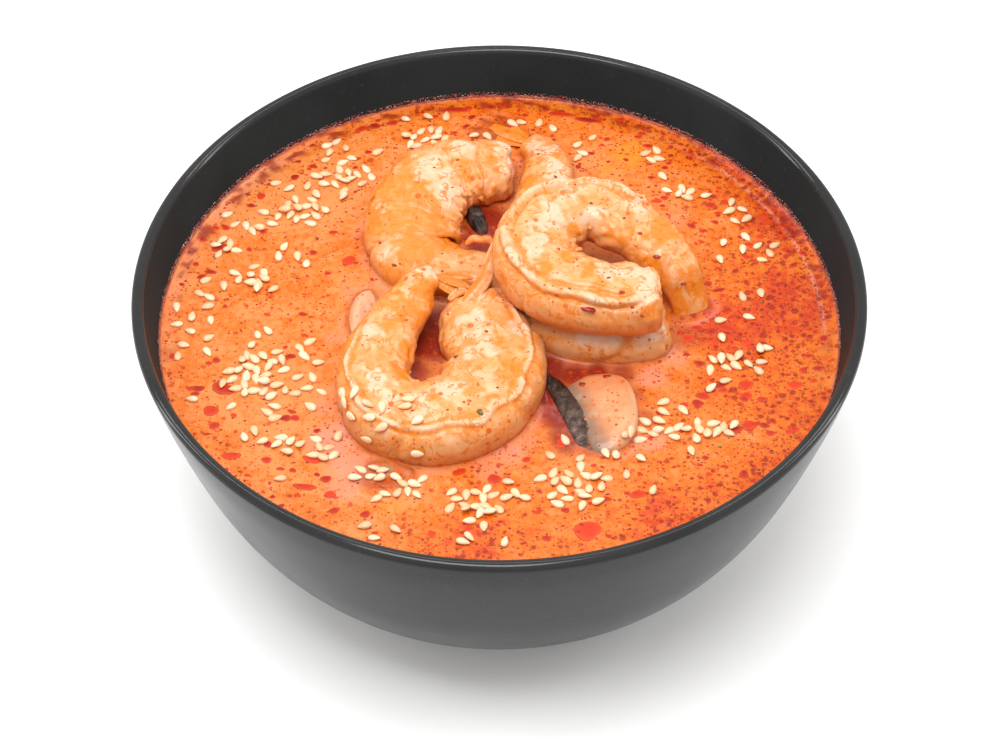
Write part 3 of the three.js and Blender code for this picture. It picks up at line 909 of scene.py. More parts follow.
def slice_points(ball, outline, thick):
    """Draws a unit ball out to a slice with that outline and thickness."""
    middle = np.mean(outline, axis=0)
    loop = along(np.vstack([outline, outline[:1]]), np.linspace(0, 1, 400)) - middle
    loop_angle = np.arctan2(loop[:, 1], loop[:, 0])
    order = np.argsort(loop_angle)
    reach = np.linalg.norm(loop, axis=1)[order]
    angle = np.arctan2(ball[:, 1], ball[:, 0])
    radius = np.interp(angle, loop_angle[order], reach, period=2 * math.pi)
    ring = np.sqrt(np.clip(1 - ball[:, 2] ** 2, 0, 1))
    spread = np.where(ring < 0.92, ring * 0.97, 0.8924 + (ring - 0.92) * 1.345)
    rise = np.sign(ball[:, 2]) * (1 - ring ** 7) ** 0.42
    return np.stack([middle[0] + radius * spread * np.cos(angle),
                     middle[1] + radius * spread * np.sin(angle), thick / 2 * rise], axis=1)


print("slices:", list(SLICES))

# %% [markdown]
# Cut mushroom flesh is matt and cream, paler along its skin and stained by the soup, with
# dots of chili. The gills are nearly black, with a painted highlight: grey where they would
# catch the light. The masks say where a slice is edge, grey or warm.

# %% Mushroom finishes
FLESH_DOTS = ((1050, 0.55, 0.40), (640, 0.70, 0.34))   # scale, least chance, largest size

flesh_paint, tree, shader = new_material("mushroom_flesh")
edge_mask, grey_and_glint_mask, warm_mask = masks_of(tree)
cream = two_tones(tree, 260, 0.35, 0.65, (0.62, 0.28, 0.125), (0.60, 0.225, 0.090), 3)
cream = mixed(tree, edge_mask, cream, (0.70, 0.40, 0.23))
cream = mixed(tree, warm_mask, cream, (0.66, 0.17, 0.045))
cream = mixed(tree, grey_and_glint_mask, cream, (0.20, 0.125, 0.085))
for scale, least, most in FLESH_DOTS:
    dot = maths(tree, "MULTIPLY", dots_of(tree, scale, least, most), DOT_SHARE)
    cream = mixed(tree, dot, cream, (0.58, 0.11, 0.008))
set_shader(tree, shader, Base_Color=cream, Roughness=0.42, IOR=1.4, Subsurface_Weight=0.15,
           Subsurface_Scale=0.002, Subsurface_Radius=(1.0, 0.5, 0.25), Coat_Weight=0.3,
           Coat_Roughness=0.15)
relief(tree, shader, spots_of(tree, 1400, 4, 0.6), 0.08, 0.7)

gill_paint, tree, shader = new_material("mushroom_gills")
grey_and_glint_mask, _, _ = masks_of(tree)
dark = two_tones(tree, 420, 0.35, 0.65, (0.014, 0.006, 0.005), (0.05, 0.024, 0.017), 3)
# On the gills the grey is a painted highlight, where they would catch the light.
grey = two_tones(tree, 620, 0.35, 0.62, (0.075, 0.045, 0.032), (0.19, 0.135, 0.105), 3)
dark = mixed(tree, grey_and_glint_mask, dark, grey)
set_shader(tree, shader, Base_Color=dark, Roughness=0.36, IOR=1.22, Coat_Weight=0.12,
           Coat_Roughness=0.08)
relief(tree, shader, spots_of(tree, 1500, 3), 0.25)
print("mushroom nodes:", len(flesh_paint.node_tree.nodes), len(tree.nodes))

# %% Making the slices
SLICE_SIDES, SLICE_RINGS = 120, 72


def slice_marks(name, ball, flat):
    """The masks of one slice. Only the back slice shows its gill side and no flesh."""
    rim = ease(0.9, 1.0, np.sqrt(1 - ball[:, 2] ** 2))
    if name == "mushroom_slice":
        ragged = flat[:, 0] + 0.32 * flat[:, 1] + 0.6 * ripple(flat, 1.6, 3)
        return marks_of(0.6 * rim, 0.9 * ease(3.4, -1.6, ragged), 0.6 * ease(5.0, 10.5, flat[:, 1]), 1.0)
    if name == "mushroom_left":
        return marks_of(np.full(len(rim), 0.6), 0.0, 0.0, 1.0)
    if name == "mushroom_sunk":
        return marks_of(0.6 * rim, 0.5, 0.0, 1.0)
    # The back slice's gills are painted grey in patches: a painted highlight.
    return marks_of(0.35 * ease(-0.2, 0.4, ripple(flat, 1.4, 2)), 1.0, 0.0, 1.0)


for name, shape in SLICES.items():
    bm = bmesh.new()
    bmesh.ops.create_uvsphere(bm, u_segments=SLICE_SIDES, v_segments=SLICE_RINGS, radius=1)
    ball = read_points(bm)
    flat = slice_points(ball, np.array(shape["outline"]), shape["thick"])
    flat[:, 2] += 0.22 * ripple(flat, 3.5, 5) + 0.10 * ripple(flat, 1.3, 9) - 0.06
    write_points(bm, tilted(flat, shape["centre"], shape["tilt"]))
    bmesh.ops.recalc_face_normals(bm, faces=bm.faces)
    keep_food(bm)
    is_gills = name == "mushroom_back"
    paint, slot_name = (gill_paint, "mushroom_gills") if is_gills else (flesh_paint, "mushroom_flesh")
    piece = finish_piece(name + "_flesh", bm, paint, slice_marks(name, ball, flat))
    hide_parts(name)

# %% [markdown]
# The gills are a dark, wet band of close thin plates along the inner edge of the cap. The
# band is a ball laid along that edge, and the plates are ridges drawn up across it.

# %% Gill band
GILL_ROUTE = [(9.4, -15.6, 53.9), (11.6, -19.6, 54.3), (13.6, -24.0, 54.5), (15.4, -28.6, 54.4),
              (17.0, -33.0, 54.2), (18.2, -37.2, 53.7)]
GILL_PITCH = 0.7                 # mm
gill_bm = bmesh.new()
lay_along(gill_bm, GILL_ROUTE, (1.5, 2.1, 2.2, 2.2, 2.3, 1.4), (0.9, 1.0, 1.0, 0.9, 0.75, 0.4),
          sides=64, rings=260, blunt=0.45)
gill_points = read_points(gill_bm)
gill_run = np.linalg.norm(gill_points[:, :2] - np.array(GILL_ROUTE[0])[:2], axis=1)
sway = 1.1 * ripple(gill_points, 2.2, 4) + 0.5 * ripple(gill_points, 0.9, 5)
plates = np.abs(np.sin(math.pi * (gill_run + sway) / GILL_PITCH)) ** 1.5
patchy = ease(-0.35, 0.25, ripple(gill_points, 2.2, 8))
gill_points[:, 2] += (0.30 * plates - 0.20) * patchy + 0.34 * ripple(gill_points, 1.5, 12)
write_points(gill_bm, gill_points)
# Painted highlight: the gills turn grey towards the band's far end, on the plates' crests and in spots.
glint_run = ease(5.0, 19.0, gill_run + 4.0 * ripple(gill_points, 2.5, 14))
glint_spots = ease(4, 12, gill_run) * ease(0.0, 0.5, ripple(gill_points, 1.1, 16))
gill_glint = np.clip(glint_run * (0.45 + 0.35 * plates) + 0.45 * glint_spots, 0, 1)
bmesh.ops.recalc_face_normals(gill_bm, faces=gill_bm.faces)
keep_food(gill_bm)
finish_piece("mushroom_gill_band", gill_bm, gill_paint, marks_of(gill_glint))
food_tree = BVHTree.FromPolygons(food_points, food_faces)

# %% [markdown]
# ## The soup
# The soup is a closed body that fills the bowl. Its top is a fine disc, spun like the bowl,
# whose points are then lifted: liquid climbs a little where it meets the wall and each
# piece of food, and that small curve is what catches the light there. At the wall a thin
# film of froth is left clinging above the level.

# %% Soup body
SOUP_STEPS = 360
TOP_RINGS = np.concatenate([[0.0], np.linspace(0.6, 66.0, 104), np.linspace(66.5, 69.95, 10)])
FILM_STEPS = np.linspace(0.06, 1.0, 9)
FILM_REACH = 3                   # mm above the level that the film's rows start from
FILM_THICKNESS = 0.12
SOUP_DEPTHS = (48, 40, 31, 22, 14, 9.5)    # mm above the table, down the wall
SOUP_BOTTOM = 6.4
EDGE_LIFT = 0.5                  # mm that the soup climbs at the wall
FOOD_LIFT = 0.75                 # mm that it climbs at the food
NEAR_FOOD = 6.0
FAR_AWAY = 9.0
soup_bm = bmesh.new()
edge_radius = float(wall_radius(SOUP_LEVEL))
soup_profile = [(r, SOUP_LEVEL) for r in TOP_RINGS]
soup_profile += [(edge_radius + 0.5 * k, SOUP_LEVEL + FILM_REACH * k) for k in FILM_STEPS]
soup_profile += [(edge_radius + 1.2, SOUP_LEVEL - 0.5)]
soup_profile += [(float(wall_radius(z)) + 0.5, z) for z in SOUP_DEPTHS]
soup_profile += [(0.0, SOUP_BOTTOM)]
spin_profile(soup_bm, soup_profile, SOUP_STEPS)
soup_points = read_points(soup_bm)
radius = np.hypot(soup_points[:, 0], soup_points[:, 1])
around = np.arctan2(soup_points[:, 1], soup_points[:, 0])
print("soup edge radius", round(edge_radius, 2), "points", len(soup_points))

# %% [markdown]
# The top's points are lifted by how near they are to food, which a search tree finds, and by
# how near they are to the wall. The film's rows lie against the wall, and its upper edge goes
# up and down a little and ends just inside the wall.

# %% Lifting the surface where it meets things
is_top = (np.abs(soup_points[:, 2] - SOUP_LEVEL) < 1e-4) & (radius < edge_radius)
on_film = soup_points[:, 2] > SOUP_LEVEL + 1e-3
film_share = np.where(on_film, (soup_points[:, 2] - SOUP_LEVEL) / FILM_REACH, 0)
nearest = np.full(len(soup_points), FAR_AWAY)
for index in np.nonzero(is_top)[0]:
    hit = food_tree.find_nearest(Vector(soup_points[index]), NEAR_FOOD)
    if hit[0] is not None:
        nearest[index] = hit[3]
ring_points = np.stack([np.cos(around), np.sin(around), np.zeros(len(around))], axis=1) * 70
film_height = 0.5 + 0.4 * ripple(ring_points, 4.0, 2) + 0.4 * ripple(ring_points, 1.1, 4)
film_height = np.clip(film_height, 0.2, 1.2)
waves = 0.10 * ripple(soup_points, 9.0, 1) + 0.05 * ripple(soup_points, 2.5, 3)
lift = (waves + EDGE_LIFT * np.exp(-(edge_radius - radius) / 0.9)
        + FOOD_LIFT * np.exp(-nearest / 0.8) * (nearest < NEAR_FOOD))
soup_points[is_top, 2] += lift[is_top]
film_z = SOUP_LEVEL + EDGE_LIFT + film_share * film_height
film_r = wall_radius(film_z) - FILM_THICKNESS * (1 - film_share ** 4)
film_r += 0.25 * (film_share > 0.95)
soup_points[on_film, 0] = (film_r * np.cos(around))[on_film]
soup_points[on_film, 1] = (film_r * np.sin(around))[on_film]
soup_points[on_film, 2] = film_z[on_film]
write_points(soup_bm, soup_points)
bmesh.ops.recalc_face_normals(soup_bm, faces=soup_bm.faces)
soup_tree = BVHTree.FromBMesh(soup_bm)
print("soup points nearer than 1 mm to food:", int((nearest < 1).sum()))

# %% [markdown]
# Four masks colour the surface. "Heat" is how much chili oil has gathered: more to the right
# and the back. The second mask marks pale, rosy foam beside the food and along the wall, and
# also painted sheen: a thin pale line near the wall on the right and the left, where the
# rising edge would reflect the light. The third is dark red oil in the shelter of the prawns
# and a dark line round each piece of food, partly painted shadow there. "Sunken" marks the
# yellow bits under the surface.

# %% Soup masks
# Dark red oil, with painted shadow in the shelter of the prawns.
OIL_AND_SHADE_POOLS = [  # x, y, radius, strength of the dark red pools
    (-14.5, -7.0, 6.5, 1.0), (-12.0, 0.0, 5.0, 1.0), (-17.5, -14.0, 5.0, 0.9),
    (-2.7, 30.5, 6.0, 1.0), (-4.0, 25.0, 6.0, 1.0), (2.0, 27.0, 5.0, 0.9),
    (10.5, -14.0, 6.0, 1.0), (15.0, -15.0, 5.0, 1.0), (20.0, -15.0, 4.5, 1.0),
    (24.5, -14.8, 3.8, 0.8), (10.5, -21.0, 6.0, 1.0), (12.0, -26.5, 5.5, 1.0), (13.5, -32.0, 5.0, 0.9),
    (38.0, -4.0, 5.0, 0.45), (20.0, 8.0, 5.0, 0.9), (29.0, -27.0, 3.0, 0.5), (27.5, -21.0, 3.0, 0.4),
]
# These pale rosy patches are partly foam on the soup and partly painted sheen.
FROTH_AND_SHEEN_SPOTS = [  # x, y, radius, strength of the pale rosy froth
    (-33.0, -33.0, 6.0, 0.9), (-29.0, -40.0, 6.0, 0.9), (-31.0, -46.0, 4.0, 0.7),
    (-35.5, -24.0, 3.0, 0.5), (2.0, -36.0, 4.5, 0.7), (-2.0, -40.5, 4.0, 0.6),
    (6.4, -33.5, 2.6, 0.5), (31.0, -16.0, 4.0, 0.9), (36.0, -10.0, 3.0, 0.5), (28.5, -33.5, 2.6, 0.8),
    (31.0, -33.0, 2.4, 0.7), (-34.0, -5.0, 2.5, 0.5), (-31.0, 8.0, 2.5, 0.4), (38.0, 30.0, 4.0, 0.4),
]
HOT_SPOTS = [  # x, y, radius, how much hotter
    (48.0, -3.0, 11.0, 0.36), (61.0, 4.0, 12.0, 0.36), (44.0, -20.0, 6.0, 0.12), (-8.0, -59.0, 10.0, 0.24),
    (34.0, -54.0, 10.0, 0.20), (10.0, -24.0, 6.0, 0.45), (-62.0, -14.0, 7.0, 0.2), (-30.0, 22.0, 7.0, 0.2),
    (60.0, 30.0, 9.0, 0.28), (-58.0, -34.0, 8.0, 0.15),
]
SUNKEN = [  # x, y, radius, strength of the yellow
    (29.0, 51.0, 5.0, 1.0), (24.0, 47.0, 3.0, 0.6), (-22.0, -50.0, 3.0, 0.5)]
RAGGED = 1.2                     # mm
plan = soup_points[:, :2]
big = ripple(soup_points, 16.0, 6)
mid = ripple(soup_points, 5.0, 7)


def patches(spots):
    """The strength of the soft patches at each point of the surface."""
    total = np.zeros(len(plan))
    for x, y, size, strength in spots:
        gap = np.hypot(plan[:, 0] - x, plan[:, 1] - y) + RAGGED * mid
        total = np.maximum(total, strength * ease(1.15 * size, 0.35 * size, gap))
    return total


print("patches:", len(OIL_AND_SHADE_POOLS), len(FROTH_AND_SHEEN_SPOTS), len(HOT_SPOTS), len(SUNKEN))

# %% Painting the masks
heat = (0.14 + 0.36 * ease(15, 62, plan[:, 0]) + 0.22 * ease(30, 66, plan[:, 1])
        + 0.20 * big + 0.14 * mid + 0.15 * ease(64, 68, radius) * ease(0, 40, plan[:, 1])
        + 0.30 * ease(-30, -60, plan[:, 1]) * ease(-40, -5, plan[:, 0])
        + patches(HOT_SPOTS) - 0.25 * ease(-25, -45, plan[:, 0]) * ease(20, 40, plan[:, 1]))
# Painted sheen: a thin pale rosy line near the wall on the right and the left, as a reflection on the
# meniscus.
right_sheen = bump(radius, 67.4, 0.45) * ease(25, 55, plan[:, 0]) * ease(-12, 6, plan[:, 1])
left_sheen = bump(radius, 68.6, 1.2) * ease(-30, -55, plan[:, 0]) * ease(-30, 20, plan[:, 1])
by_food = bump(nearest, 1.5, 0.7) * ease(-0.1, 0.4, mid)
froth_and_sheen = np.maximum.reduce([
    patches(FROTH_AND_SHEEN_SPOTS), 0.95 * right_sheen, 0.55 * left_sheen, 0.5 * by_food, 0.9 * on_film])
wall_dark = (0.85 * ease(65.5, 68.5, radius) * ease(-30, 20, plan[:, 1])
             * ease(0.10, 0.32, ripple(soup_points * [1, 1.6, 1], 2.6, 31)))
# Dark red oil and painted shadow: patches beside the food and a thin dark line at its edge, with a darker
# band at the wall and the film.
dark_red_and_shade = np.maximum.reduce([
    patches(OIL_AND_SHADE_POOLS), 0.75 * np.exp(-nearest / 0.45), wall_dark, 0.5 * on_film])
soup_marks = np.clip(marks_of(heat, froth_and_sheen, dark_red_and_shade, patches(SUNKEN)), 0, 1)
print("mean heat", round(float(heat[is_top].mean()), 3))

# %% [markdown]
# The broth goes from creamy orange to chili red with the heat. Clouds and curds of noise
# break the heat up first, as coconut milk does, and three sizes of chili dots come last.
# They grow more common and darker where the soup is hotter.

# %% Broth
BROTH_DOTS = (  # scale, least chance, largest size, strength
    (1500, 0.30, 0.42, 0.70), (760, 0.55, 0.40, 0.8), (420, 0.80, 0.32, 0.75))

broth, tree, shader = new_material("chili_coconut_broth")
heat_mask, froth_and_sheen_mask, dark_red_and_shade_mask = masks_of(tree)
sunken_mask = add_node(tree, "ShaderNodeAttribute", attribute_name="marks").outputs["Alpha"]
cloud = spots_of(tree, 150, 4, 0.55)
curd = spots_of(tree, 620, 5, 0.65)
warm = maths(tree, "ADD", heat_mask, fade(tree, cloud, 0.3, 0.7, -0.12, 0.12))
warm = maths(tree, "ADD", warm, fade(tree, curd, 0.3, 0.7, -0.22, 0.22))
sunken_share = maths(tree, "MULTIPLY", sunken_mask, 0.8)
froth_and_sheen_share = maths(tree, "MULTIPLY", froth_and_sheen_mask, fade(tree, curd, 0.3, 0.6, 0.5, 0.95))
dark_red_and_shade_share = maths(tree, "MULTIPLY", dark_red_and_shade_mask, 0.94)
tone = mixed(tree, fade(tree, warm, -0.1, 0.5), (0.65, 0.222, 0.062), (0.64, 0.135, 0.008))
tone = mixed(tree, fade(tree, warm, 0.40, 0.95), tone, (0.52, 0.046, 0.005))
tone = mixed(tree, sunken_share, tone, (0.68, 0.22, 0.015))
# pale foam, and painted sheen
tone = mixed(tree, froth_and_sheen_share, tone, (0.70, 0.25, 0.155))
# dark red oil, and painted shadow
tone = mixed(tree, dark_red_and_shade_share, tone, (0.22, 0.010, 0.006))

dots_more = fade(tree, warm, 0.0, 0.8, -0.04, 0.20)
dot_tone = mixed(tree, fade(tree, warm, 0.15, 0.65), (0.50, 0.058, 0.004), (0.25, 0.013, 0.004))
for scale, least, most, share in BROTH_DOTS:
    dot = dots_of(tree, scale, least, 1.12 * most, dots_more, full=1.1, soft=(-0.08, 0.06))
    tone = mixed(tree, maths(tree, "MULTIPLY", dot, share), tone, dot_tone)
set_shader(tree, shader, Base_Color=tone, Roughness=0.26, IOR=1.30, Coat_Weight=0.10,
           Coat_Roughness=0.06, Subsurface_Weight=0.08, Subsurface_Scale=0.002,
           Subsurface_Radius=(1.0, 0.3, 0.1))
relief(tree, shader, curd, 0.05, 0.5)
soup = finish_piece("soup_broth", soup_bm, broth, soup_marks)
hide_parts("soup")

# %% [markdown]
# ## Chili oil
# Red oil floats in flat round drops, from specks to one as large as a lentil. A drop is a
# ball pressed almost flat. The large ones are placed one by one, and the small ones are
# scattered with a fixed random seed, thicker to the right and the back, where it is hotter.

# %% Oil drops
BIG_DROPS = [  # x, y, half length, half width, turn in degrees
    (17, -56, 3.1, 2.3, 12), (-56, -19, 2.4, 1.7, -35), (-58, -25, 1.7, 1.3, -20), (-61, -19, 1.2, 0.9, 0),
    (-57, -29, 1.2, 0.9, 20), (-53, -37, 2.0, 0.9, 10), (-46, -34, 1.0, 0.8, 0), (-46, -38, 1.2, 0.8, 0),
    (-43, -27, 1.2, 1.0, 0), (-41, -27, 1.0, 0.9, 0), (-37, -38, 1.9, 0.9, -25), (-34, -43, 1.2, 0.9, 30),
    (-38, -45, 2.4, 0.8, -12), (-33, -47, 1.3, 0.9, 0), (-32, -51, 1.1, 0.8, 0), (-52, 38, 1.1, 1.0, 0),
    (-54, 35, 0.9, 0.7, 0), (-59, 28, 0.9, 0.8, 0), (-32, 18, 1.6, 1.3, 10), (-41, 2, 1.0, 0.7, 0),
    (-67, -10, 1.0, 0.9, 0), (-43, -10, 1.2, 0.8, 0), (41, -2, 1.3, 0.9, 0), (39, -5, 1.4, 1.1, 0),
    (44, -3, 1.4, 0.9, 20), (47, -2, 2.2, 1.0, -15), (51, -6, 1.0, 0.9, 0), (41, -12, 1.2, 0.8, 0),
    (50, -18, 1.6, 1.3, 0), (45, -18, 1.6, 0.9, 20), (41, -21, 1.4, 1.0, 0), (50, -21, 1.3, 1.1, 0),
    (40, -23, 1.2, 1.1, 0), (53, -22, 1.1, 0.9, 30), (60, -18, 1.6, 1.1, 15), (47, -30, 1.5, 1.2, 0),
    (50, -29, 1.5, 1.4, 0), (53, -29, 1.0, 0.8, 0), (54, -31, 1.0, 0.7, 0), (59, -30, 1.0, 0.8, 0),
    (48, -42, 1.0, 0.9, 0), (27, -47, 1.6, 1.1, 10), (46, 9, 1.5, 0.6, 20), (-1, -43, 1.5, 1.1, -20),
    (-8, -41, 1.6, 1.0, 25), (-26, -52, 1.1, 0.8, 0), (9, -58, 0.9, 0.8, 0), (-13, -57, 0.9, 0.8, 0),
    (-10, 66.5, 3.4, 1.0, 3), (-31, 60, 1.6, 1.0, 25), (-28, 61, 1.3, 1.0, 20), (-24, 62, 1.3, 0.9, 15),
    (-7, 67, 1.2, 0.7, 0), (-2, 67.4, 1.4, 0.7, 0), (14, 65, 2.8, 0.9, -8), (20, 63, 3.0, 0.9, -12),
    (46, 35, 1.2, 1.0, 0), (49, 36, 1.0, 0.8, 0), (-60, 22, 1.8, 1.4, 30), (44, 27, 1.0, 0.6, 0),
    (65, 2, 1.0, 0.8, 80), (67, -5, 1.0, 0.8, 80), (62, -14, 0.9, 0.8, 0), (-45, 44, 1.0, 0.9, 0),
]


def soup_height(x, y):
    hit = soup_tree.ray_cast(Vector((x, y, 90)), Vector((0, 0, -1)))
    return hit[0].z if hit[0] is not None else SOUP_LEVEL


def food_height(x, y):
    """Where the food lies under a point looked at from above, with its normal, or None."""
    hit = food_tree.ray_cast(Vector((x, y, 90)), Vector((0, 0, -1)))
    return (hit[0], hit[1]) if hit[0] is not None else None


def is_on_food(x, y):
    on_food = food_height(x, y)
    return on_food is not None and on_food[0].z > soup_height(x, y) + 0.1


print("large drops:", len(BIG_DROPS))

# %% Scattered drops
SMALL_DROPS = 760
DROP_REACH = 69.0                # mm from the middle
pick = random.Random(31)
small_drops = []
while len(small_drops) < SMALL_DROPS:
    x, y, reach = spot_in_disc(pick, DROP_REACH)
    wanted = 0.16 + 0.55 * max(0, x) / 70 + 0.40 * max(0, y) / 70 + 0.35 * (reach > 64)
    if pick.random() > wanted or is_on_food(x, y):
        continue
    size = 0.18 + 0.60 * pick.random() ** 3
    small_drops.append((x, y, size * pick.uniform(1.0, 1.6), size, pick.uniform(-25, 25)))
print("small drops:", len(small_drops))


# %% Making the drops
def draw_drop(bm):
    bmesh.ops.create_uvsphere(bm, u_segments=18, v_segments=8, radius=1)


drops = BIG_DROPS + small_drops
oil_bm, drop_shape = many_of(draw_drop, len(drops))
drop_points, drop_marks = [], []
drop_radius = np.hypot(drop_shape[:, 0], drop_shape[:, 1])
drop_angle = np.arctan2(drop_shape[:, 1], drop_shape[:, 0])
for number, (x, y, long, wide, turn) in enumerate(drops):
    uneven = 1 + 0.10 * np.sin(2 * drop_angle + x) + 0.07 * np.sin(3 * drop_angle + y)
    high = 0.035 + 0.02 * min(long, 2.0)
    outline = drop_shape * np.stack([uneven, uneven, np.ones(len(uneven))], axis=1)
    drop_points.append(place_flat(
        outline, x, y, soup_height(x, y), long, wide, high, math.radians(turn)))
    drop_marks.append(marks_of(drop_radius ** 3, (number * 0.618) % 1))
write_points(oil_bm, np.vstack(drop_points))

chili_oil, tree, shader = new_material("chili_oil")
rim_mask, tone_mask, _ = masks_of(tree)
red = mixed(tree, tone_mask, (0.60, 0.036, 0.006), (0.30, 0.012, 0.005))
red = mixed(tree, maths(tree, "MULTIPLY", rim_mask, 0.6), red, (0.62, 0.085, 0.020))
red = mixed(tree, fade(tree, spots_of(tree, 600, 2), 0.5, 0.7, 0, 0.4), red, (0.30, 0.012, 0.008))
set_shader(tree, shader, Base_Color=red, Roughness=0.28, IOR=1.30)
finish_piece("chili_oil_drops", oil_bm, chili_oil, np.vstack(drop_marks))

# %% [markdown]
# ## Sesame
# Hulled sesame seeds are flat teardrops about 3 mm long. They were sprinkled by hand, so they
# lie in loose clusters with strays between. Each seed is one small ball shaped by moving its
# points, dropped from above until it meets the soup or the food, and laid in its slope.

# %% Seed clusters
CLUSTERS = [  # x, y, spread along x, spread along y, how many
    (-42, 37, 2.2, 2.4, 6), (-43, 32, 4.0, 2.2, 10), (-54, 28, 2.0, 1.8, 4), (-58, 22, 2.6, 2.2, 6),
    (-51, 11, 3.0, 1.8, 7), (-48, -11, 3.4, 1.6, 8), (-51, -15, 3.4, 1.8, 10), (-48, -19, 4.0, 1.8, 9),
    (-45, -26, 1.8, 1.6, 3), (-49, -32, 1.4, 2.6, 3), (-41, -34, 2.2, 1.8, 5), (-35, -36, 2.4, 2.2, 6),
    (-25, -42, 2.4, 1.6, 6), (-18, -45, 2.8, 2.0, 7), (-23, -47, 1.2, 0.8, 2), (-2, -48, 2.4, 1.6, 6),
    (-4, -51, 3.4, 1.6, 8), (2, -47, 2.0, 2.0, 4), (-7, -48, 2.0, 2.0, 2), (14, -45, 3.6, 3.4, 18),
    (49, -12, 3.6, 1.8, 9), (40, -30, 4.4, 2.0, 12), (32, -30, 2.6, 1.8, 5), (34, 51, 2.2, 1.2, 4),
    (38, 40, 3.0, 1.4, 4), (42, 38, 1.8, 1.2, 2), (52, 35, 2.0, 1.6, 3), (53, 31, 1.6, 1.4, 2),
    (58, 21, 2.0, 1.8, 3), (-17, 57, 4.4, 2.6, 12), (-34, 50, 1.8, 1.6, 4), (-35, 43, 3.6, 3.4, 12),
    (-38, 53, 1.4, 1.6, 3), (-31, 44, 1.6, 1.6, 3), (18, 53, 1.0, 2.0, 3), (-4, 57, 1.6, 1.2, 2),
]
STRAYS = [  # x, y of seeds that lie alone
    (-49, 42), (-42, 41), (-46, 35), (-49, 29), (-59, 32), (-46, 22), (-47, 19), (-43, 19), (-41, 17),
    (-52, 16), (-56, 14), (-55, 12), (-62, 12), (-63, 8), (-61, 7), (-58, 10), (-61, 4), (-64, 1),
    (-60, 0),
    (-64, -3), (-67, -1), (-67.5, 4), (-65, -7), (-66, -10), (-60, -5), (-60, -9), (-48, -3), (-50, -4),
    (-51, -7), (-44, -14), (-39, -6), (-41, -8), (-40, -10), (-37, -12), (-41, -16), (-38, -16), (-39, -19),
    (-36, -20), (-38, -24), (-54, -24), (-62, -22), (-43, -43), (-26, -55), (-20, -56), (-24, -58),
    (-7, -59), (-6, -58), (1, -59), (-3, -55), (10, -37), (13, -33), (16, -38), (21, -37), (23, -37),
    (21, -43), (25, -33.5), (25, -42), (8, -43), (52, 21), (47, 18), (56, 18), (55, 8), (51, 7), (52, 1),
    (46, 0), (46, -5), (55, -8), (53.5, -8.5), (43, -14), (46, -17), (43, -19), (33, -23), (33, -25.5),
    (37, -25), (32, -28), (28, -33), (25.5, -33), (38, -36), (28, -38), (30, -46), (9, 62), (12, 60),
    (21, 57), (36, 44), (31, 37), (28, 39), (53, 25), (48, 23), (-12, 64), (-16, 64), (-27, 52),
    (-21, 63), (5, 62), (3, 61),
    (-32, -32), (-29, -32), (-31, -26), (-28.5, -28), (-26, -31), (-25.5, -33.5), (-23, -32), (-26, -36),
    (-23, -36), (-18.5, -32), (-18, -30), (-16, -35.5), (-30, -29), (-16, -40),
]
SEED_REACH = 68.5                # mm from the middle
GATHERED = 0.62                  # how much closer a cluster lies than its spread says
ROOMY, CLOSE = 1.75, 1.2         # least distance of two seeds in mm, at first and later
ROOMY_TRIES, ALL_TRIES = 250, 400
pick = random.Random(17)
seed_spots = list(STRAYS)
for x, y, spread_x, spread_y, count in CLUSTERS:
    tries = 0
    while count > 0 and tries < ALL_TRIES:
        tries += 1
        spot = (pick.gauss(x, spread_x * GATHERED), pick.gauss(y, spread_y * GATHERED))
        gap = min(math.dist(spot, other) for other in seed_spots)
        if math.hypot(*spot) > SEED_REACH or gap < (ROOMY if tries < ROOMY_TRIES else CLOSE):
            continue
        seed_spots.append(spot)
        count -= 1
print("seeds:", len(seed_spots))


# %% Shaping the seed
SEED_LENGTH, SEED_WIDTH, SEED_THICKNESS = 2.85, 1.7, 1.0


def draw_seed(bm):
    bmesh.ops.create_uvsphere(bm, u_segments=10, v_segments=9, radius=0.5)


seed_bm, seed_shape = many_of(draw_seed, len(seed_spots))
run = seed_shape[:, 2] * 2
taper = 1 - 0.32 * run - 0.14 * run * run
seed_shape = np.stack([seed_shape[:, 2] * SEED_LENGTH, seed_shape[:, 0] * SEED_WIDTH * taper,
                       seed_shape[:, 1] * SEED_THICKNESS * taper], axis=1)
print("one seed has", len(seed_shape), "points")

# %% [markdown]
# A seed sinks a little into soup and hardly at all into food, leans at random, and rides up
# on the seeds that were laid close to it before.

# %% Laying the seeds
CROWDED = 1.9                    # mm within which a seed rides up on another
pick = random.Random(23)
seed_points, seed_marks, laid = [], [], []
# Painted shade: the lower half of each seed is marked for a darker, browner colour.
seed_shade_share = np.clip(0.5 - seed_shape[:, 2] / SEED_THICKNESS, 0, 1)
for x, y in seed_spots:
    on_food, level = food_height(x, y), soup_height(x, y)
    if on_food is not None and on_food[0].z > level:
        place, up, sink = on_food[0], on_food[1], 0.10
    else:
        place, up, sink = Vector((x, y, level)), Vector((0, 0, 1)), pick.uniform(0.05, 0.42)
    neighbours = min(2, sum(1 for other in laid if math.dist((x, y), other) < CROWDED))
    laid.append((x, y))
    tip_up = 0.16 + 0.22 * neighbours
    lean = Vector((pick.uniform(-tip_up, tip_up), pick.uniform(-tip_up, tip_up), 0))
    up = (up + lean).normalized()
    turn = pick.uniform(0, 2 * math.pi)
    ahead = Vector((math.cos(turn), math.sin(turn), 0))
    ahead = (ahead - up * ahead.dot(up)).normalized()
    side = up.cross(ahead)
    size = pick.uniform(0.86, 1.06)
    centre = place + up * SEED_THICKNESS * (0.5 - sink + 0.45 * neighbours)
    seed_points.append(np.array(centre) + seed_shape @ np.array([ahead, side, up]) * size)
    seed_marks.append(marks_of(pick.random(), pick.random(), seed_shade_share))
write_points(seed_bm, np.vstack(seed_points))
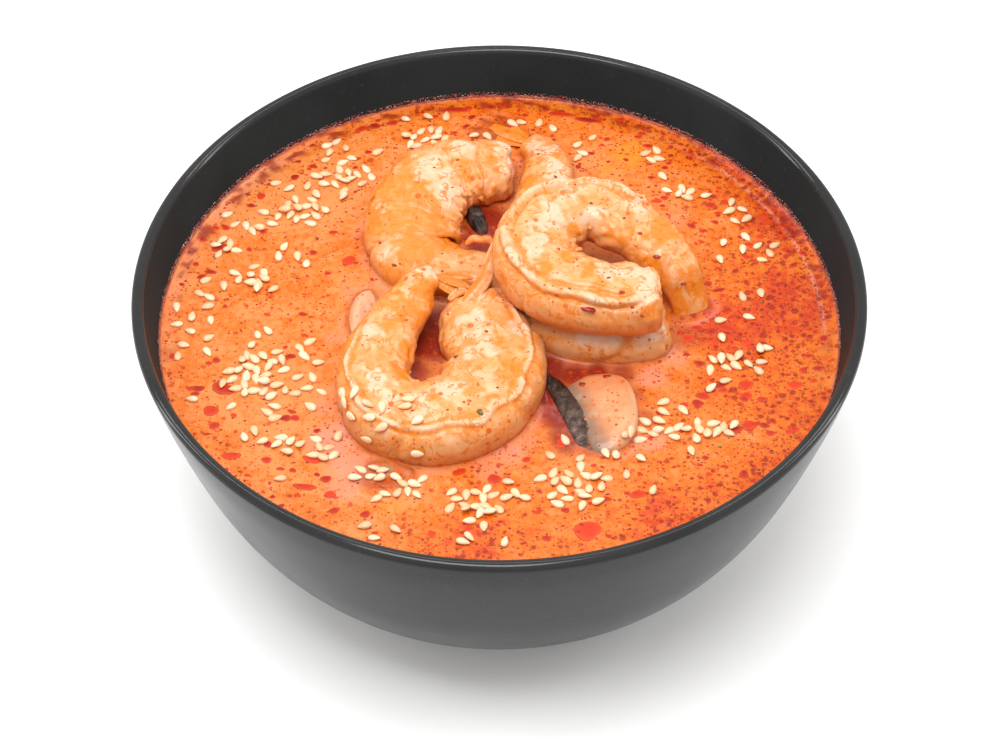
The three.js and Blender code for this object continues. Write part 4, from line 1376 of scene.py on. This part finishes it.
bmesh.ops.recalc_face_normals(seed_bm, faces=seed_bm.faces)

sesame, tree, shader = new_material("hulled_sesame")
tone_mask, blush_mask, seed_shade_mask = masks_of(tree)
hull = mixed(tree, tone_mask, (0.80, 0.47, 0.25), (0.86, 0.64, 0.44))
hull = mixed(tree, fade(tree, blush_mask, 0.6, 1.0, 0, 0.6), hull, (0.76, 0.38, 0.22))
# painted shade on the lower half of each seed
hull = mixed(tree, fade(tree, seed_shade_mask, 0.45, 0.8, 0, 0.75), hull, (0.66, 0.24, 0.09))
mottle = fade(tree, spots_of(tree, 1200, 2), 0.45, 0.7, 0, 0.35)
hull = mixed(tree, mottle, hull, (0.74, 0.40, 0.19))
set_shader(tree, shader, Base_Color=hull, Roughness=0.38, IOR=1.45, Subsurface_Weight=0.10,
           Subsurface_Scale=0.001, Subsurface_Radius=(1.0, 0.6, 0.35), Coat_Weight=0.2,
           Coat_Roughness=0.2)
relief(tree, shader, spots_of(tree, 3000, 2), 0.03)
finish_piece("sesame_seeds", seed_bm, sesame, np.vstack(seed_marks))

# %% [markdown]
# ## Froth line and spice grains
# Where the soup has lapped the wall, tiny beads of froth and grains of chili have dried in a
# speckled line. Each bead is the smallest ball there is, a 20-sided one, because there are
# thousands. Grains of herb and chili also lie on the soup.

# %% Beads on the wall
BEADS = 7600
BEAD_START, BEAD_BAND = 0.35, 1.5      # mm above the level
BEAD_IN_GLAZE = 0.02
WALL_AT = ([50, 53, 59, 64.4], [69.2, 70.0, 71.3, 72.3])   # heights and radii of the wall
pick = random.Random(41)
froth_spots, wall_spots = [], []
for _ in range(BEADS):
    turn = pick.uniform(0, 2 * math.pi)
    high = SOUP_LEVEL + BEAD_START + BEAD_BAND * pick.random() ** 1.1
    reach = float(np.interp(high, *WALL_AT)) - BEAD_IN_GLAZE
    size = pick.uniform(0.07, 0.17)
    spot = (reach * math.cos(turn), reach * math.sin(turn), high, size, size, size, 0.0)
    (froth_spots if pick.random() < 0.5 else wall_spots).append(spot)
print("beads:", len(froth_spots), "of froth and", len(wall_spots), "of chili")

# %% [markdown]
# Grains of chili and flecks of herb lie on the soup and, more thinly, on the food. A few
# larger ones are listed one by one, because they are easy to see.

# %% Grains and herbs
GRAINS = 2700
GRAIN_REACH = 69.6               # mm from the middle
SINGLE_HERBS = [  # x, y, half length, half width, half height, turn in radians
    (-3.8, -32.8, 1.5, 0.75, 0.25, 2.2), (-8.5, -16.9, 0.9, 0.4, 0.2, 0.3)]
SINGLE_GRAINS = [  # x, y, half length, half width
    (17.7, -12.4, 1.9, 1.1), (24.5, -9.6, 0.7, 0.5), (26.6, -12.4, 0.6, 0.5),
    (32.5, 7.4, 1.0, 0.8), (29.1, 11.5, 0.6, 0.5), (14.0, -9.0, 0.5, 0.4),
    (22.0, -6.0, 0.5, 0.4), (28.6, -13.4, 0.5, 0.4), (12.0, 3.0, 0.5, 0.4),
    (19.0, 17.0, 0.5, 0.4), (-2.6, -12.0, 0.5, 0.4), (-22.0, 12.0, 0.7, 0.5),
    (-25.0, 18.0, 0.6, 0.4), (-9.0, 39.0, 0.5, 0.4), (12.0, 36.0, 0.6, 0.4),
    (8.6, 44.0, 0.5, 0.4), (17.0, -19.0, 1.1, 0.7), (22.0, -17.6, 1.2, 0.6),
    (38.0, 4.0, 0.9, 0.6), (-17.0, -33.0, 0.4, 0.3),
]
grain_spots, herb_spots = [], []
while len(grain_spots) + len(herb_spots) < GRAINS:
    x, y, reach = spot_in_disc(pick, GRAIN_REACH)
    wanted = 0.40 + 0.40 * max(0, x) / 70 + 0.30 * max(0, y) / 70 + 0.2 * (reach > 64)
    on_food, level = food_height(x, y), soup_height(x, y)
    if on_food is not None and on_food[0].z > level:
        level, wanted = on_food[0].z, wanted * 0.25
    if pick.random() > wanted:
        continue
    size = 0.08 + 0.20 * pick.random() ** 2
    spot = (x, y, level, size * pick.uniform(1, 1.7), size, size * 0.5, pick.uniform(-0.6, 0.6))
    (grain_spots if pick.random() < 0.97 else herb_spots).append(spot)
for x, y, *sizes_and_turn in SINGLE_HERBS:
    herb_spots.append((x, y, food_height(x, y)[0].z, *sizes_and_turn))
for x, y, long, wide in SINGLE_GRAINS:
    level = food_height(x, y)[0].z - 0.05
    grain_spots.append((x, y, level, long, wide, 0.2, pick.uniform(-0.6, 0.6)))
print("grains:", len(grain_spots), "herbs:", len(herb_spots))


# %% Making the beads, grains and herbs
def draw_grain(bm):
    bmesh.ops.create_icosphere(bm, subdivisions=1, radius=1)


def scatter(name, spots, paint):
    """Joins one small ball for each (x, y, z, long, wide, high, turn) into one piece."""
    bm, shape = many_of(draw_grain, len(spots))
    write_points(bm, np.vstack([place_flat(shape, *spot) for spot in spots]))
    finish_piece(name, bm, paint)


def two_tone_paint(name, scale, first, second, rough):
    paint, tree, shader = new_material(name)
    tone = two_tones(tree, scale, 0.35, 0.65, first, second)
    set_shader(tree, shader, Base_Color=tone, Roughness=rough)
    return paint


froth_paint = two_tone_paint("dried_froth", 900, (0.50, 0.30, 0.24), (0.20, 0.08, 0.06), 0.4)
grain_paint = two_tone_paint("chili_grains", 700, (0.40, 0.030, 0.010), (0.22, 0.016, 0.008), 0.35)
herb_paint = two_tone_paint("herb_flecks", 700, (0.07, 0.055, 0.015), (0.16, 0.13, 0.05), 0.4)
scatter("froth_beads", froth_spots, froth_paint)
scatter("wall_grains", wall_spots, grain_paint)
scatter("chili_grains", grain_spots, grain_paint)
scatter("herb_flecks", herb_spots, herb_paint)
